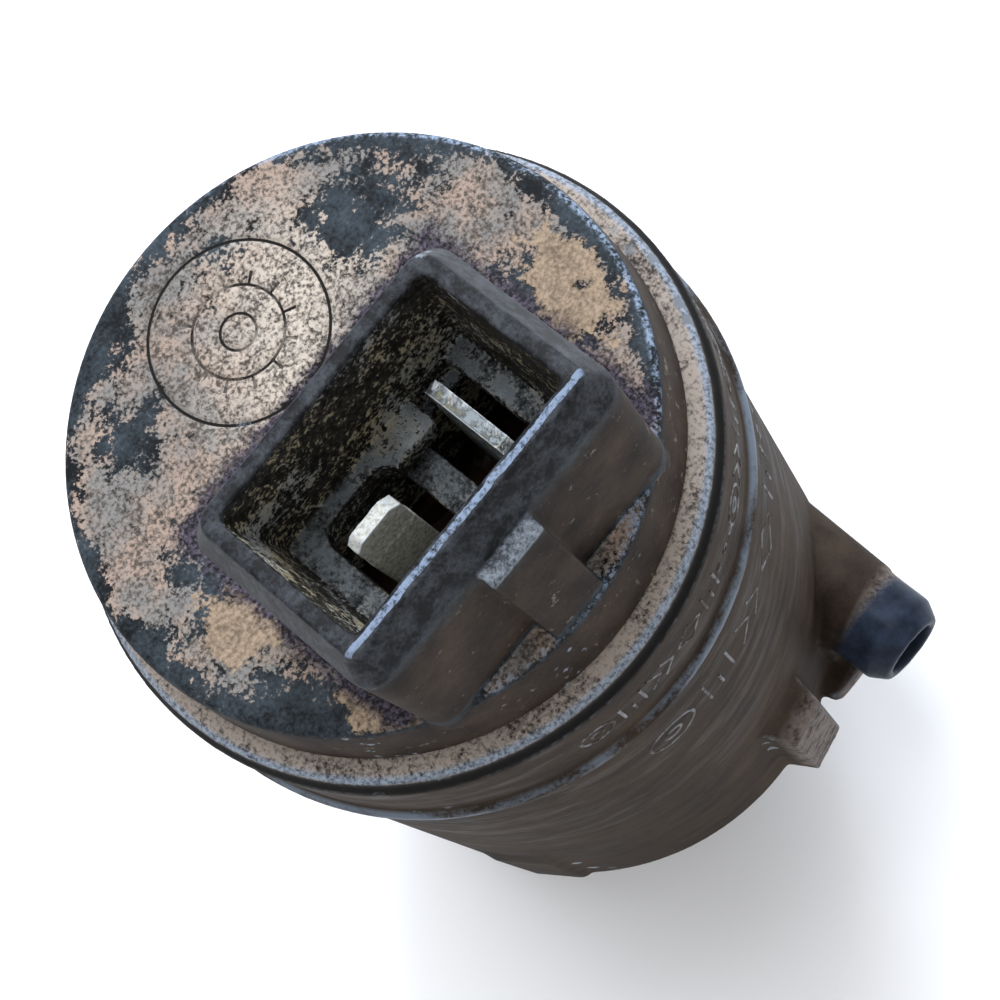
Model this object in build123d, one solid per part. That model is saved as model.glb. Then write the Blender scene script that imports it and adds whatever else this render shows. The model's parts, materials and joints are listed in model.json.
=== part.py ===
"""Windscreen washer pump: a small brushed motor in a plastic casing, driving a centrifugal impeller.

The motor axis is Z. Z = 0 is the underside of the casing, where the inlet nipple starts, and the
electrical socket points up. The socket is long along X, and its latch faces -Y. All sizes are in mm.
"""

import os
from math import degrees, sqrt

from build123d import *

# ---- overall sizes ----
BAND_RADIUS = 16.0
CAN_LENGTH = 25.5

# ---- casing: barrel, ledge, ridge ----
CASING_WALL = 2.3
CASING_RISE = 0.7
LEDGE_INSET = 0.35
LEDGE_ROUND = 0.3
LEDGE_FALL = 0.2
LEDGE_WALL = 1.1
BAND_CHAMFER = 0.2
RIDGE_DROP = 7.6
RIDGE_PROUD = 0.45
RIDGE_HALF_HEIGHT = 0.45
RIDGE_TAPER = 0.9
BARREL_TOP_PROUD = 0.05
BARREL_FLARE = 0.3
FOOT_CHAMFER = 0.6
BULKHEAD_THICKNESS = 2.0

# ---- guide ribs on the lower barrel ----
RIB_COUNT = 5
KEY_RIB_ANGLE = -79.0
RIB_PITCH = 66.0
KEY_RIB_WIDTH = 4.2
RIB_WIDTH = 4.4
RIB_DRAFT = 0.65
RIB_TOP = 12.8
RIB_SLOPE_HEIGHT = 2.4
RIB_PROUD = 0.2
KEY_RIB_PROUD = 1.6

# ---- pump chamber, cover and inlet ----
COVER_SEAT_WALL = 1.9
COVER_SEAT_WIDTH = 1.9
COVER_THICKNESS = 2.6
COVER_FIT = 0.05
CHAMBER_HEIGHT = 6.2
GASKET_WIRE = 0.6
GASKET_FIT = 0.1
NIPPLE_RADIUS = 4.5
NIPPLE_LENGTH = 10.0
NIPPLE_TIP_TAPER = 1.5
NIPPLE_TIP_INSET = 0.5
INLET_BORE_RADIUS = 2.55
STRAINER_THICKNESS = 0.8
STRAINER_WALL = 0.35
STRAINER_BAR = 0.35
STRAINER_PITCH = 1.1
STRAINER_BARS_EACH_SIDE = 2

# ---- tangential outlet ----
OUTLET_RADIUS = 2.9
OUTLET_BORE_RADIUS = 1.7
OUTLET_LENGTH = 4.0
OUTLET_TIP_TAPER = 1.1
OUTLET_TIP_INSET = 0.66
OUTLET_BOSS_INSET = 1.4
OUTLET_COLLAR = 0.15
OUTLET_FLARE = 0.55
OUTLET_FOOT_REACH = 1.4
OUTLET_FOOT_HEIGHT = 1.6
OUTLET_FOOT_WIDTH = 5.0
OUTLET_FOOT_ROUND = 0.8

# ---- end cap ----
CAP_STEP = 1.85
CAP_DRAFT = 0.35
NECK_HEIGHT = 4.7
CAP_PLATE = 1.6
CAP_EDGE_ROUND = 0.5
CAP_SKIRT_FIT = 0.05
CAP_CAN_GAP = 0.15
CAP_SKIRT_REACH = 1.0
CAP_SHOULDER_GRIP = 0.8
CAP_SHOULDER_HEIGHT = 1.0
MARK_RING_Y = 7.4
MARK_RING_RADIUS = 4.5
MARK_RING_WIDTH = 0.28
MARK_RING_DEPTH = 0.15

# ---- socket shroud on the end cap ----
SHROUD_LENGTH = 15.7
SHROUD_WIDTH = 10.6
SHROUD_HEIGHT = 11.8
SHROUD_CORNER = 1.2
LIP_HEIGHT = 1.9
LIP_INSET = 0.8
LIP_CORNER = 0.8
RIM_WIDTH = 0.7
CAVITY_CORNER = 0.4
CAVITY_DRAFT_X = 0.45
CAVITY_DRAFT_Y = 0.15
FLOOR_HEIGHT = 5.2
FLOOR_THICKNESS = 1.5
LOWER_WELL_WALL = 2.2
WELL_CLEARANCE = 0.7
WINDOW_MARGIN = 1.0
WINDOW_NEAR_MARGIN = 0.5
WINDOW_BACK_MARGIN = 2.0
WEB_WIDTH = 1.6
WEB_X = 0.55
WEB_TOP_DROP = 0.5
WEB_HEIGHT = 2.2
LATCH_WIDTH = 3.1
LATCH_TOP_DROP = 2.2
LATCH_TOP_REACH = 0.85
LATCH_FOOT_REACH = 1.25
LATCH_EDGE_GAP = 0.2

# ---- terminals ----
BLADE_THICKNESS = 0.8
BLADE_PROUD = 2.4
BLADE_TIP_CHAMFER = 0.5
WIDE_BLADE = 4.8
WIDE_BLADE_X = 3.2
WIDE_BLADE_SHIFT = 0.1
NARROW_BLADE = 2.8
NARROW_BLADE_X = -2.65
NARROW_BLADE_SHIFT = 0.45
FOOT_STRIP_THICKNESS = 0.6
FOOT_STRIP_WIDTH = 1.6

# ---- motor ----
SHAFT_RADIUS = 1.0
SHAFT_FIT = 0.03
SHAFT_END_INSET = 0.2
SHAFT_CHAMFER = 0.2
SEAL_FIT = 0.05
CAN_GAP = 1.5
CAN_WALL = 0.8
CAN_EDGE_ROUND = 0.4
CAN_NOSE_GAP = 0.3
CAN_NOSE_LENGTH = 2.2
BUSH_RADIUS = 2.8
BUSH_INSET = 0.2
LOWER_BUSH_LENGTH = 3.7
UPPER_BUSH_LENGTH = 3.0
ENDPLATE_THICKNESS = 1.6
ENDPLATE_BOSS_WALL = 1.4
ENDPLATE_BOSS_HEIGHT = 2.0
ENDPLATE_SKIRT_WALL = 1.1
ENDPLATE_SKIRT_HEIGHT = 1.4
BAY_RIB_COUNT = 6
BAY_RIB_WIDTH = 1.6
BAY_RIB_DROP = 2.5
BAY_RIB_FIT = 0.05
SEAT_RING_INSET = 2.6
SEAT_RING_WALL = 1.6

# ---- magnets ----
MAGNET_THICKNESS = 1.5
MAGNET_SPAN = 118.0
MAGNET_OVERHANG = 2.0
CLIP_THICKNESS = 0.45
CLIP_LENGTH = 9.0

# ---- armature ----
AIR_GAP = 0.4
POLE_COUNT = 3
POLE_SPAN = 92.0
POLE_SHOE = 1.5
POLE_NECK = 2.6
CORE_HUB_RADIUS = 3.2
CORE_TO_CAN = 5.0
COIL_SIDE = 2.0
COIL_END = 1.7
COIL_SHOE_GAP = 0.17
COIL_HUB_GAP = 0.3
COIL_TO_COMMUTATOR = 0.9
COMMUTATOR_RADIUS = 3.4
COMMUTATOR_LENGTH = 4.7
SEGMENT_THICKNESS = 0.8
SEGMENT_SPAN = 112.0
SEGMENT_END = 0.3
WASHER_RADIUS = 2.4
WASHER_THICKNESS = 0.5
END_PLAY = 0.4

# ---- brushes ----
BRUSH_GAP = 0.25
BRUSH_WIDTH = 2.4
BRUSH_HEIGHT = 3.0
BRUSH_LENGTH = 3.35
BRUSH_DROP = 0.9
LEAF_THICKNESS = 0.4
LEAF_HEIGHT = 2.4
LEAF_OVERHANG = 0.4
LEAF_ANCHOR_Y = 6.2
LEAF_TAB_LENGTH = 2.0

# ---- shaft seal ----
SEAL_RADIUS = 3.4
SEAL_THICKNESS = 1.4
RETAINER_BORE = 1.6

# ---- impeller ----
IMPELLER_TIP_GAP = 2.8
IMPELLER_DISC = 1.2
IMPELLER_DISC_GAP = 1.4
IMPELLER_HUB_RADIUS = 2.3
VANE_COUNT = 6
VANE_THICKNESS = 0.9
VANE_CLEARANCE = 0.7
VANE_INNER_RADIUS = 3.4
VANE_SWEEP = 35.0
VANE_BEND = 8.75

# ---- radii worked out from the sizes above ----
LEDGE_RADIUS = BAND_RADIUS - LEDGE_INSET
RIDGE_RADIUS = BAND_RADIUS + RIDGE_PROUD
BARREL_TOP_RADIUS = BAND_RADIUS + BARREL_TOP_PROUD
BARREL_FOOT_RADIUS = BAND_RADIUS + BARREL_FLARE
CAP_RADIUS = BAND_RADIUS - CAP_STEP
NECK_RADIUS = CAP_RADIUS + CAP_DRAFT
BAY_RADIUS = BAND_RADIUS - CASING_WALL
CAN_RADIUS = BAY_RADIUS - CAN_GAP
CAN_BORE = CAN_RADIUS - CAN_WALL
CAN_NOSE_RADIUS = BUSH_RADIUS + CAN_WALL
ENDPLATE_BOSS_RADIUS = BUSH_RADIUS + ENDPLATE_BOSS_WALL
CAP_SKIRT_OUTER = BAY_RADIUS - CAP_SKIRT_FIT
CAP_SKIRT_INNER = CAN_RADIUS + CAP_CAN_GAP
SEAT_RING_OUTER = CAN_RADIUS - SEAT_RING_INSET
MAGNET_INNER = CAN_BORE - MAGNET_THICKNESS
CORE_RADIUS = MAGNET_INNER - AIR_GAP
SHOE_INNER = CORE_RADIUS - POLE_SHOE
COIL_HALF_WIDTH = POLE_NECK / 2 + COIL_SIDE
COIL_INNER_X = CORE_HUB_RADIUS + COIL_HUB_GAP
COIL_OUTER_X = sqrt((SHOE_INNER - COIL_SHOE_GAP) ** 2 - COIL_HALF_WIDTH**2)
COMMUTATOR_HUB_RADIUS = COMMUTATOR_RADIUS - SEGMENT_THICKNESS
COVER_RADIUS = BARREL_FOOT_RADIUS - COVER_SEAT_WALL
CHAMBER_RADIUS = COVER_RADIUS - COVER_SEAT_WIDTH
IMPELLER_RADIUS = CHAMBER_RADIUS - IMPELLER_TIP_GAP

# ---- heights, from the cover up ----
GASKET_SEAT = COVER_THICKNESS + 2 * GASKET_WIRE
BULKHEAD_BOTTOM = GASKET_SEAT + CHAMBER_HEIGHT
BULKHEAD_TOP = BULKHEAD_BOTTOM + BULKHEAD_THICKNESS
IMPELLER_DISC_TOP = BULKHEAD_BOTTOM - IMPELLER_DISC_GAP
IMPELLER_DISC_BOTTOM = IMPELLER_DISC_TOP - IMPELLER_DISC
VANE_BOTTOM = COVER_THICKNESS + VANE_CLEARANCE
CAN_NOSE_BOTTOM = BULKHEAD_TOP + CAN_NOSE_GAP
CAN_BOTTOM = CAN_NOSE_BOTTOM + CAN_NOSE_LENGTH
CAN_TOP = CAN_BOTTOM + CAN_LENGTH
LOWER_BUSH_BOTTOM = CAN_NOSE_BOTTOM + BUSH_INSET
LOWER_BUSH_TOP = LOWER_BUSH_BOTTOM + LOWER_BUSH_LENGTH
UPPER_BUSH_BOTTOM = CAN_TOP + BUSH_INSET
UPPER_BUSH_TOP = UPPER_BUSH_BOTTOM + UPPER_BUSH_LENGTH
SHAFT_BOTTOM = VANE_BOTTOM + SHAFT_END_INSET
SHAFT_TOP = UPPER_BUSH_TOP - SHAFT_END_INSET
ENDPLATE_TOP = CAN_TOP + ENDPLATE_THICKNESS
COMMUTATOR_TOP = UPPER_BUSH_BOTTOM - END_PLAY - WASHER_THICKNESS
COMMUTATOR_BOTTOM = COMMUTATOR_TOP - COMMUTATOR_LENGTH
BRUSH_TOP = COMMUTATOR_TOP - BRUSH_DROP
BRUSH_BOTTOM = BRUSH_TOP - BRUSH_HEIGHT
CORE_BOTTOM = CAN_BOTTOM + CORE_TO_CAN
CORE_TOP = COMMUTATOR_BOTTOM - COIL_TO_COMMUTATOR - COIL_END
MAGNET_BOTTOM = CORE_BOTTOM - MAGNET_OVERHANG
MAGNET_TOP = CORE_TOP + MAGNET_OVERHANG
CASING_TOP = ENDPLATE_TOP + CASING_RISE
RIDGE_Z = CASING_TOP - RIDGE_DROP
CAP_TOP = CASING_TOP + NECK_HEIGHT
CAP_UNDERSIDE = CAP_TOP - CAP_PLATE
CAP_SKIRT_BOTTOM = CAN_TOP - CAP_SKIRT_REACH
FLOOR_TOP = CAP_TOP + FLOOR_HEIGHT
FLOOR_BOTTOM = FLOOR_TOP - FLOOR_THICKNESS
RIM_TOP = CAP_TOP + SHROUD_HEIGHT
BLADE_TIP = FLOOR_TOP + BLADE_PROUD

# ---- places across the socket, the brushes and the outlet ----
SOCKET_Y = LATCH_EDGE_GAP + LATCH_FOOT_REACH + SHROUD_WIDTH / 2 - CAP_RADIUS
WIDE_BLADE_Y = SOCKET_Y + WIDE_BLADE_SHIFT
NARROW_BLADE_Y = SOCKET_Y + NARROW_BLADE_SHIFT
MOUTH_LENGTH = SHROUD_LENGTH - 2 * (LIP_INSET + RIM_WIDTH)
MOUTH_WIDTH = SHROUD_WIDTH - 2 * (LIP_INSET + RIM_WIDTH)
WELL_LENGTH = SHROUD_LENGTH - 2 * LOWER_WELL_WALL
WELL_WIDTH = WIDE_BLADE + 2 * WELL_CLEARANCE
BRUSH_BACK_X = COMMUTATOR_RADIUS + BRUSH_GAP + BRUSH_LENGTH
LEAF_FRONT_Y = -BRUSH_WIDTH / 2 - LEAF_OVERHANG
OUTLET_X = CHAMBER_RADIUS - OUTLET_BORE_RADIUS
OUTLET_Z = (GASKET_SEAT + BULKHEAD_BOTTOM) / 2
OUTLET_BOSS_Y = OUTLET_BOSS_INSET - BARREL_FOOT_RADIUS
OUTLET_TIP_Y = OUTLET_BOSS_Y - OUTLET_LENGTH
OUTLET_FOOT_Y = OUTLET_BOSS_Y - OUTLET_FOOT_REACH

LOW = (Align.CENTER, Align.CENTER, Align.MIN)


def disc(radius, bottom, top):
    """Solid cylinder on the motor axis."""
    return Pos(0, 0, bottom) * Cylinder(radius, top - bottom, align=LOW)


def ring(outer, inner, bottom, top):
    """Plain tube on the motor axis."""
    return disc(outer, bottom, top) - disc(inner, bottom, top)


def block(x, y, bottom, top):
    """Box from a pair of X limits, a pair of Y limits, a bottom and a top."""
    size = (x[1] - x[0], y[1] - y[0], top - bottom)
    return Pos((x[0] + x[1]) / 2, (y[0] + y[1]) / 2, bottom) * Box(*size, align=LOW)


def at_angle(radius, angle):
    """Point at a radius and an angle in degrees."""
    return Vector(radius, 0).rotate(Axis.Z, angle)


def sector(outer, inner, bottom, top, middle, span):
    """Arc of a tube, span degrees wide, centred on the angle middle."""
    start = at_angle(outer, middle - span / 2)
    end = at_angle(outer, middle + span / 2)
    arc = ThreePointArc(start, at_angle(outer, middle), end)
    inner_start = at_angle(inner, middle - span / 2)
    inner_end = at_angle(inner, middle + span / 2)
    inner_arc = ThreePointArc(inner_end, at_angle(inner, middle), inner_start)
    outline = arc + Line(end, inner_end) + inner_arc + Line(inner_start, start)
    return Pos(0, 0, bottom) * extrude(make_face(outline), top - bottom)


def turned(points):
    """Solid of revolution about Z from (radius, height) points."""
    outline = Polyline(*[(radius, 0, height) for radius, height in points], close=True)
    return revolve(make_face(outline), Axis.Z)


# ---------------------------------------------------------------- casing


def barrel_shell():
    """Outer profile of the casing, with its ledge, band, ridge and slightly flared lower barrel."""
    ledge_edge = CASING_TOP - LEDGE_FALL
    profile = [
        (0, 0),
        (BARREL_FOOT_RADIUS - FOOT_CHAMFER, 0),
        (BARREL_FOOT_RADIUS, FOOT_CHAMFER),
        (BARREL_TOP_RADIUS, RIDGE_Z - RIDGE_HALF_HEIGHT - RIDGE_TAPER),
        (RIDGE_RADIUS, RIDGE_Z - RIDGE_HALF_HEIGHT),
        (RIDGE_RADIUS, RIDGE_Z),
        (BAND_RADIUS, RIDGE_Z + RIDGE_HALF_HEIGHT),
        (BAND_RADIUS, CASING_TOP - LEDGE_WALL - BAND_CHAMFER),
        (BAND_RADIUS - BAND_CHAMFER, CASING_TOP - LEDGE_WALL),
        (LEDGE_RADIUS, CASING_TOP - LEDGE_WALL),
        (LEDGE_RADIUS, ledge_edge - LEDGE_ROUND),
        (LEDGE_RADIUS - LEDGE_ROUND, ledge_edge),
        (NECK_RADIUS, CASING_TOP),
        (0, CASING_TOP),
    ]
    return turned(profile)


def guide_rib(angle, width, proud):
    """Rib on the lower barrel, with a sloped top end and drafted sides, proud of the barrel's foot."""
    root_half = width / 2
    face_half = root_half - RIB_DRAFT
    face_x = BARREL_FOOT_RADIUS + proud
    outline = Polyline(
        (BAY_RADIUS, -root_half),
        (BARREL_TOP_RADIUS, -root_half),
        (face_x, -face_half),
        (face_x, face_half),
        (BARREL_TOP_RADIUS, root_half),
        (BAY_RADIUS, root_half),
        close=True,
    )
    rib = extrude(make_face(outline), RIB_TOP)
    slope = Polyline(
        (BARREL_TOP_RADIUS, 0, RIB_TOP),
        (face_x, 0, RIB_TOP - RIB_SLOPE_HEIGHT),
        (face_x, 0, RIB_TOP),
        close=True,
    )
    rib -= extrude(make_face(slope), width, both=True)
    return Rot(0, 0, angle) * rib


def along_minus_y(radius, start_y, end_y):
    """Cylinder on the outlet's axis from start_y out to end_y."""
    place = Pos(OUTLET_X, start_y, OUTLET_Z) * Rot(90, 0, 0)
    return place * Cylinder(radius, start_y - end_y, align=LOW)


def outlet_spigot():
    """Tangential hose spigot with its flared collar, tapered tip, root block and foot flange."""
    tip_start = OUTLET_TIP_Y + OUTLET_TIP_TAPER
    spigot = along_minus_y(OUTLET_RADIUS, 0, tip_start)
    tip_radius = OUTLET_RADIUS - OUTLET_TIP_INSET
    tip_place = Pos(OUTLET_X, tip_start, OUTLET_Z) * Rot(90, 0, 0)
    tip = tip_place * Cone(OUTLET_RADIUS, tip_radius, OUTLET_TIP_TAPER, align=LOW)
    collar_radius = OUTLET_RADIUS + OUTLET_COLLAR
    collar_place = Pos(OUTLET_X, 0, OUTLET_Z) * Rot(90, 0, 0)
    collar = collar_place * Cone(collar_radius + OUTLET_FLARE, collar_radius, -OUTLET_BOSS_Y, align=LOW)
    sides = (OUTLET_X - collar_radius, OUTLET_X + collar_radius)
    root = block(sides, (OUTLET_BOSS_Y, 0), 0, OUTLET_Z)
    foot = block((OUTLET_X - OUTLET_FOOT_WIDTH, OUTLET_X), (OUTLET_FOOT_Y, 0), 0, OUTLET_FOOT_HEIGHT)
    foot_corners = foot.edges().filter_by(Axis.Z).group_by(Axis.Y)[0]
    foot = fillet(foot_corners, OUTLET_FOOT_ROUND)
    return root + spigot + tip + collar + foot


def bay_rib():
    """Inner rib that centres the motor can in the casing."""
    inner = CAN_RADIUS + BAY_RIB_FIT
    half = BAY_RIB_WIDTH / 2
    top = CAN_TOP - BAY_RIB_DROP
    return block((inner, BAY_RADIUS + half), (-half, half), BULKHEAD_TOP, top)


def pump_casing():
    """Barrel, bulkhead, pump chamber and outlet, moulded in one piece."""
    body = barrel_shell()
    body += guide_rib(KEY_RIB_ANGLE, KEY_RIB_WIDTH, KEY_RIB_PROUD)
    for place in range(1, RIB_COUNT):
        body += guide_rib(KEY_RIB_ANGLE - place * RIB_PITCH, RIB_WIDTH, RIB_PROUD)
    body += outlet_spigot()
    body -= disc(BAY_RADIUS, BULKHEAD_TOP, CASING_TOP)
    body -= disc(CHAMBER_RADIUS, 0, BULKHEAD_BOTTOM)
    body -= disc(COVER_RADIUS, 0, GASKET_SEAT)
    body -= disc(SEAL_RADIUS, BULKHEAD_BOTTOM, BULKHEAD_TOP)
    body -= along_minus_y(OUTLET_BORE_RADIUS, 0, OUTLET_TIP_Y)
    body += ring(SEAT_RING_OUTER, SEAT_RING_OUTER - SEAT_RING_WALL, BULKHEAD_TOP, CAN_BOTTOM)
    for angle in range(0, 360, 360 // BAY_RIB_COUNT):
        body += Rot(0, 0, angle) * bay_rib()
    return body


# ---------------------------------------------------------------- end cap


def socket_outline(length, width, corner):
    """Rounded rectangle centred on the socket."""
    return Pos(0, SOCKET_Y) * RectangleRounded(length, width, corner)


def shroud_body():
    """Outside of the socket: straight walls, then a lip that leans in to the rim."""
    lip_start = RIM_TOP - LIP_HEIGHT
    full = socket_outline(SHROUD_LENGTH, SHROUD_WIDTH, SHROUD_CORNER)
    rim_length = SHROUD_LENGTH - 2 * LIP_INSET
    rim_width = SHROUD_WIDTH - 2 * LIP_INSET
    rim = socket_outline(rim_length, rim_width, LIP_CORNER)
    walls = extrude(Pos(0, 0, CAP_UNDERSIDE) * full, lip_start - CAP_UNDERSIDE)
    lip = loft([Pos(0, 0, lip_start) * full, Pos(0, 0, RIM_TOP) * rim])
    return walls + lip


def plug_cavity():
    """Space above the socket floor that takes the plug, a little wider at its mouth."""
    mouth = socket_outline(MOUTH_LENGTH, MOUTH_WIDTH, CAVITY_CORNER)
    bottom_length = MOUTH_LENGTH - 2 * CAVITY_DRAFT_X
    bottom_width = MOUTH_WIDTH - 2 * CAVITY_DRAFT_Y
    bottom = socket_outline(bottom_length, bottom_width, CAVITY_CORNER)
    return loft([Pos(0, 0, FLOOR_TOP) * bottom, Pos(0, 0, RIM_TOP) * mouth])


def blade_wells():
    """Windows in the socket floor round the two blades, and the recess between them."""
    front = SOCKET_Y - WELL_WIDTH / 2
    back = SOCKET_Y + MOUTH_WIDTH / 2 - CAVITY_DRAFT_Y
    half_blade = BLADE_THICKNESS / 2
    wide_left = WIDE_BLADE_X - half_blade - WINDOW_NEAR_MARGIN
    wide_right = WIDE_BLADE_X + half_blade + WINDOW_MARGIN
    wide = block((wide_left, wide_right), (front, back), FLOOR_BOTTOM, FLOOR_TOP)
    narrow_left = NARROW_BLADE_X - NARROW_BLADE / 2 - WINDOW_NEAR_MARGIN
    narrow_right = NARROW_BLADE_X + NARROW_BLADE / 2 + WINDOW_MARGIN
    narrow_back = NARROW_BLADE_Y + half_blade + WINDOW_BACK_MARGIN
    narrow = block((narrow_left, narrow_right), (front, narrow_back), FLOOR_BOTTOM, FLOOR_TOP)
    narrow = fillet(narrow.edges().filter_by(Axis.Z).group_by(Axis.Y)[-1], WINDOW_MARGIN)
    middle_back = WIDE_BLADE_Y + WINDOW_BACK_MARGIN
    middle = block((narrow_right, wide_left), (front, middle_back), FLOOR_BOTTOM, FLOOR_TOP)
    return wide + narrow + middle


def latch_rib():
    """Wedge on the socket's front wall that the plug's clip snaps over."""
    wall = SOCKET_Y - SHROUD_WIDTH / 2
    top = RIM_TOP - LATCH_TOP_DROP
    outline = Polyline(
        (0, wall + RIM_WIDTH, CAP_TOP),
        (0, wall - LATCH_FOOT_REACH, CAP_TOP),
        (0, wall - LATCH_TOP_REACH, top),
        (0, wall + RIM_WIDTH, top),
        close=True,
    )
    return extrude(make_face(outline), LATCH_WIDTH / 2, both=True)


def cap_shell():
    """Round plate, neck wall, spigot skirt and the shoulder that holds the brush plate down."""
    shoulder = CAN_RADIUS - CAP_SHOULDER_GRIP
    shoulder_top = ENDPLATE_TOP + CAP_SHOULDER_HEIGHT
    plate = Pos(0, 0, CASING_TOP) * Cone(NECK_RADIUS, CAP_RADIUS, NECK_HEIGHT, align=LOW)
    plate = fillet(plate.edges().group_by(Axis.Z)[-1], CAP_EDGE_ROUND)
    plate += disc(CAP_SKIRT_OUTER, CAP_SKIRT_BOTTOM, CASING_TOP)
    plate -= disc(CAP_SKIRT_INNER, CAP_SKIRT_BOTTOM, ENDPLATE_TOP)
    plate -= disc(shoulder, ENDPLATE_TOP, shoulder_top)
    return plate - disc(CAP_SKIRT_INNER, shoulder_top, CAP_UNDERSIDE)


def mark_ring():
    """Shallow circular groove on the cap."""
    outer = MARK_RING_RADIUS + MARK_RING_WIDTH / 2
    groove = ring(outer, outer - MARK_RING_WIDTH, CAP_TOP - MARK_RING_DEPTH, CAP_TOP)
    return Pos(0, MARK_RING_Y, 0) * groove


def end_cap():
    """Cap that closes the motor bay and carries the socket."""
    well = Pos(0, SOCKET_Y, CAP_UNDERSIDE) * Box(
        WELL_LENGTH, WELL_WIDTH, FLOOR_BOTTOM - CAP_UNDERSIDE, align=LOW
    )
    cap = cap_shell() - mark_ring() + shroud_body() + latch_rib()
    cap -= plug_cavity() + blade_wells() + well
    web_top = FLOOR_BOTTOM - WEB_TOP_DROP
    half_web = WEB_WIDTH / 2
    half_well = WELL_WIDTH / 2
    web_y = (SOCKET_Y - half_well, SOCKET_Y + half_well)
    cap += block((WEB_X - half_web, WEB_X + half_web), web_y, web_top - WEB_HEIGHT, web_top)
    return cap


# ---------------------------------------------------------------- terminals and brushes


def tab_blade(width):
    """Flat tab standing on the brush plate, broad face towards Y, with chamfered tip corners."""
    half = BLADE_THICKNESS / 2
    blade = block((-width / 2, width / 2), (-half, half), ENDPLATE_TOP, BLADE_TIP)
    tip_corners = blade.edges().group_by(Axis.Z)[-1].filter_by(Axis.Y)
    return chamfer(tip_corners, BLADE_TIP_CHAMFER)


def foot_strip(side, blade_edge):
    """Flat strip from the blade's foot round the bearing boss to the brush leaf on one side."""
    half = FOOT_STRIP_WIDTH / 2
    top = ENDPLATE_TOP + FOOT_STRIP_THICKNESS
    front = WIDE_BLADE_Y - half
    outer = BRUSH_BACK_X + half
    across = block(sorted((side * blade_edge, side * outer)), (front, front + 2 * half), ENDPLATE_TOP, top)
    inner = BRUSH_BACK_X - half
    along = block(sorted((side * inner, side * outer)), (front, LEAF_ANCHOR_Y), ENDPLATE_TOP, top)
    return across + along


def wide_terminal():
    """Blade set along Y, with its foot strip."""
    blade = Pos(WIDE_BLADE_X, WIDE_BLADE_Y, 0) * Rot(0, 0, 90) * tab_blade(WIDE_BLADE)
    return blade + foot_strip(1, WIDE_BLADE_X - BLADE_THICKNESS / 2)


def narrow_terminal():
    """Blade set along X, with its foot strip."""
    blade = Pos(NARROW_BLADE_X, NARROW_BLADE_Y, 0) * tab_blade(NARROW_BLADE)
    return blade + foot_strip(-1, -NARROW_BLADE_X - NARROW_BLADE / 2)


def leaf_tab_box(side):
    """Space that a brush leaf's upright tab takes."""
    x = sorted((side * BRUSH_BACK_X, side * (BRUSH_BACK_X + LEAF_THICKNESS)))
    y = (LEAF_ANCHOR_Y - LEAF_TAB_LENGTH, LEAF_ANCHOR_Y)
    return block(x, y, BRUSH_BOTTOM, ENDPLATE_TOP)


def brush_leaf(side):
    """Spring leaf that carries a brush, hung from the brush plate by its tab."""
    x = sorted((side * BRUSH_BACK_X, side * (BRUSH_BACK_X + LEAF_THICKNESS)))
    leaf = block(x, (LEAF_FRONT_Y, LEAF_ANCHOR_Y), BRUSH_BOTTOM, BRUSH_BOTTOM + LEAF_HEIGHT)
    return leaf + leaf_tab_box(side)


def carbon_brush(side):
    """Carbon block between the leaf and the commutator, hollowed to the commutator's curve."""
    x = sorted((side * COMMUTATOR_HUB_RADIUS, side * BRUSH_BACK_X))
    half = BRUSH_WIDTH / 2
    return block(x, (-half, half), BRUSH_BOTTOM, BRUSH_TOP) - disc(
        COMMUTATOR_RADIUS + BRUSH_GAP, BRUSH_BOTTOM, BRUSH_TOP
    )


def brush_plate():
    """Plastic plate that closes the can and holds the upper bush, the leaves and the terminals."""
    plate = disc(CAN_RADIUS, CAN_TOP, ENDPLATE_TOP)
    plate += disc(ENDPLATE_BOSS_RADIUS, ENDPLATE_TOP, ENDPLATE_TOP + ENDPLATE_BOSS_HEIGHT)
    plate += ring(CAN_BORE, CAN_BORE - ENDPLATE_SKIRT_WALL, CAN_TOP - ENDPLATE_SKIRT_HEIGHT, CAN_TOP)
    plate -= disc(BUSH_RADIUS, CAN_TOP, ENDPLATE_TOP + ENDPLATE_BOSS_HEIGHT)
    return plate - leaf_tab_box(1) - leaf_tab_box(-1)


# ---------------------------------------------------------------- motor


def motor_can():
    """Drawn steel can with a nose that holds the lower bush."""
    can = disc(CAN_RADIUS, CAN_BOTTOM, CAN_TOP) - disc(CAN_BORE, CAN_BOTTOM + CAN_WALL, CAN_TOP)
    can = fillet(can.edges().group_by(Axis.Z)[0], CAN_EDGE_ROUND)
    can += disc(CAN_NOSE_RADIUS, CAN_NOSE_BOTTOM, CAN_BOTTOM + CAN_WALL)
    return can - disc(BUSH_RADIUS, CAN_NOSE_BOTTOM, CAN_BOTTOM + CAN_WALL)


def bush(bottom, top):
    """Sintered bush that the shaft runs in."""
    return ring(BUSH_RADIUS, SHAFT_RADIUS + SHAFT_FIT, bottom, top)


def magnet(middle):
    """Arc magnet on the inside of the can."""
    return sector(CAN_BORE, MAGNET_INNER, MAGNET_BOTTOM, MAGNET_TOP, middle, MAGNET_SPAN)


def magnet_clip(middle):
    """Spring strip that fills the gap between the magnets and presses them apart."""
    bottom = (MAGNET_BOTTOM + MAGNET_TOP - CLIP_LENGTH) / 2
    span = 180 - MAGNET_SPAN
    inner = CAN_BORE - CLIP_THICKNESS
    strip = sector(CAN_BORE, inner, bottom, bottom + CLIP_LENGTH, middle, span)
    leg_span = degrees(CLIP_THICKNESS / MAGNET_INNER)
    leg_angle = (span - leg_span) / 2
    for side in (-1, 1):
        angle = middle + side * leg_angle
        strip += sector(CAN_BORE, MAGNET_INNER, bottom, bottom + CLIP_LENGTH, angle, leg_span)
    return strip


# ---------------------------------------------------------------- armature


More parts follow.
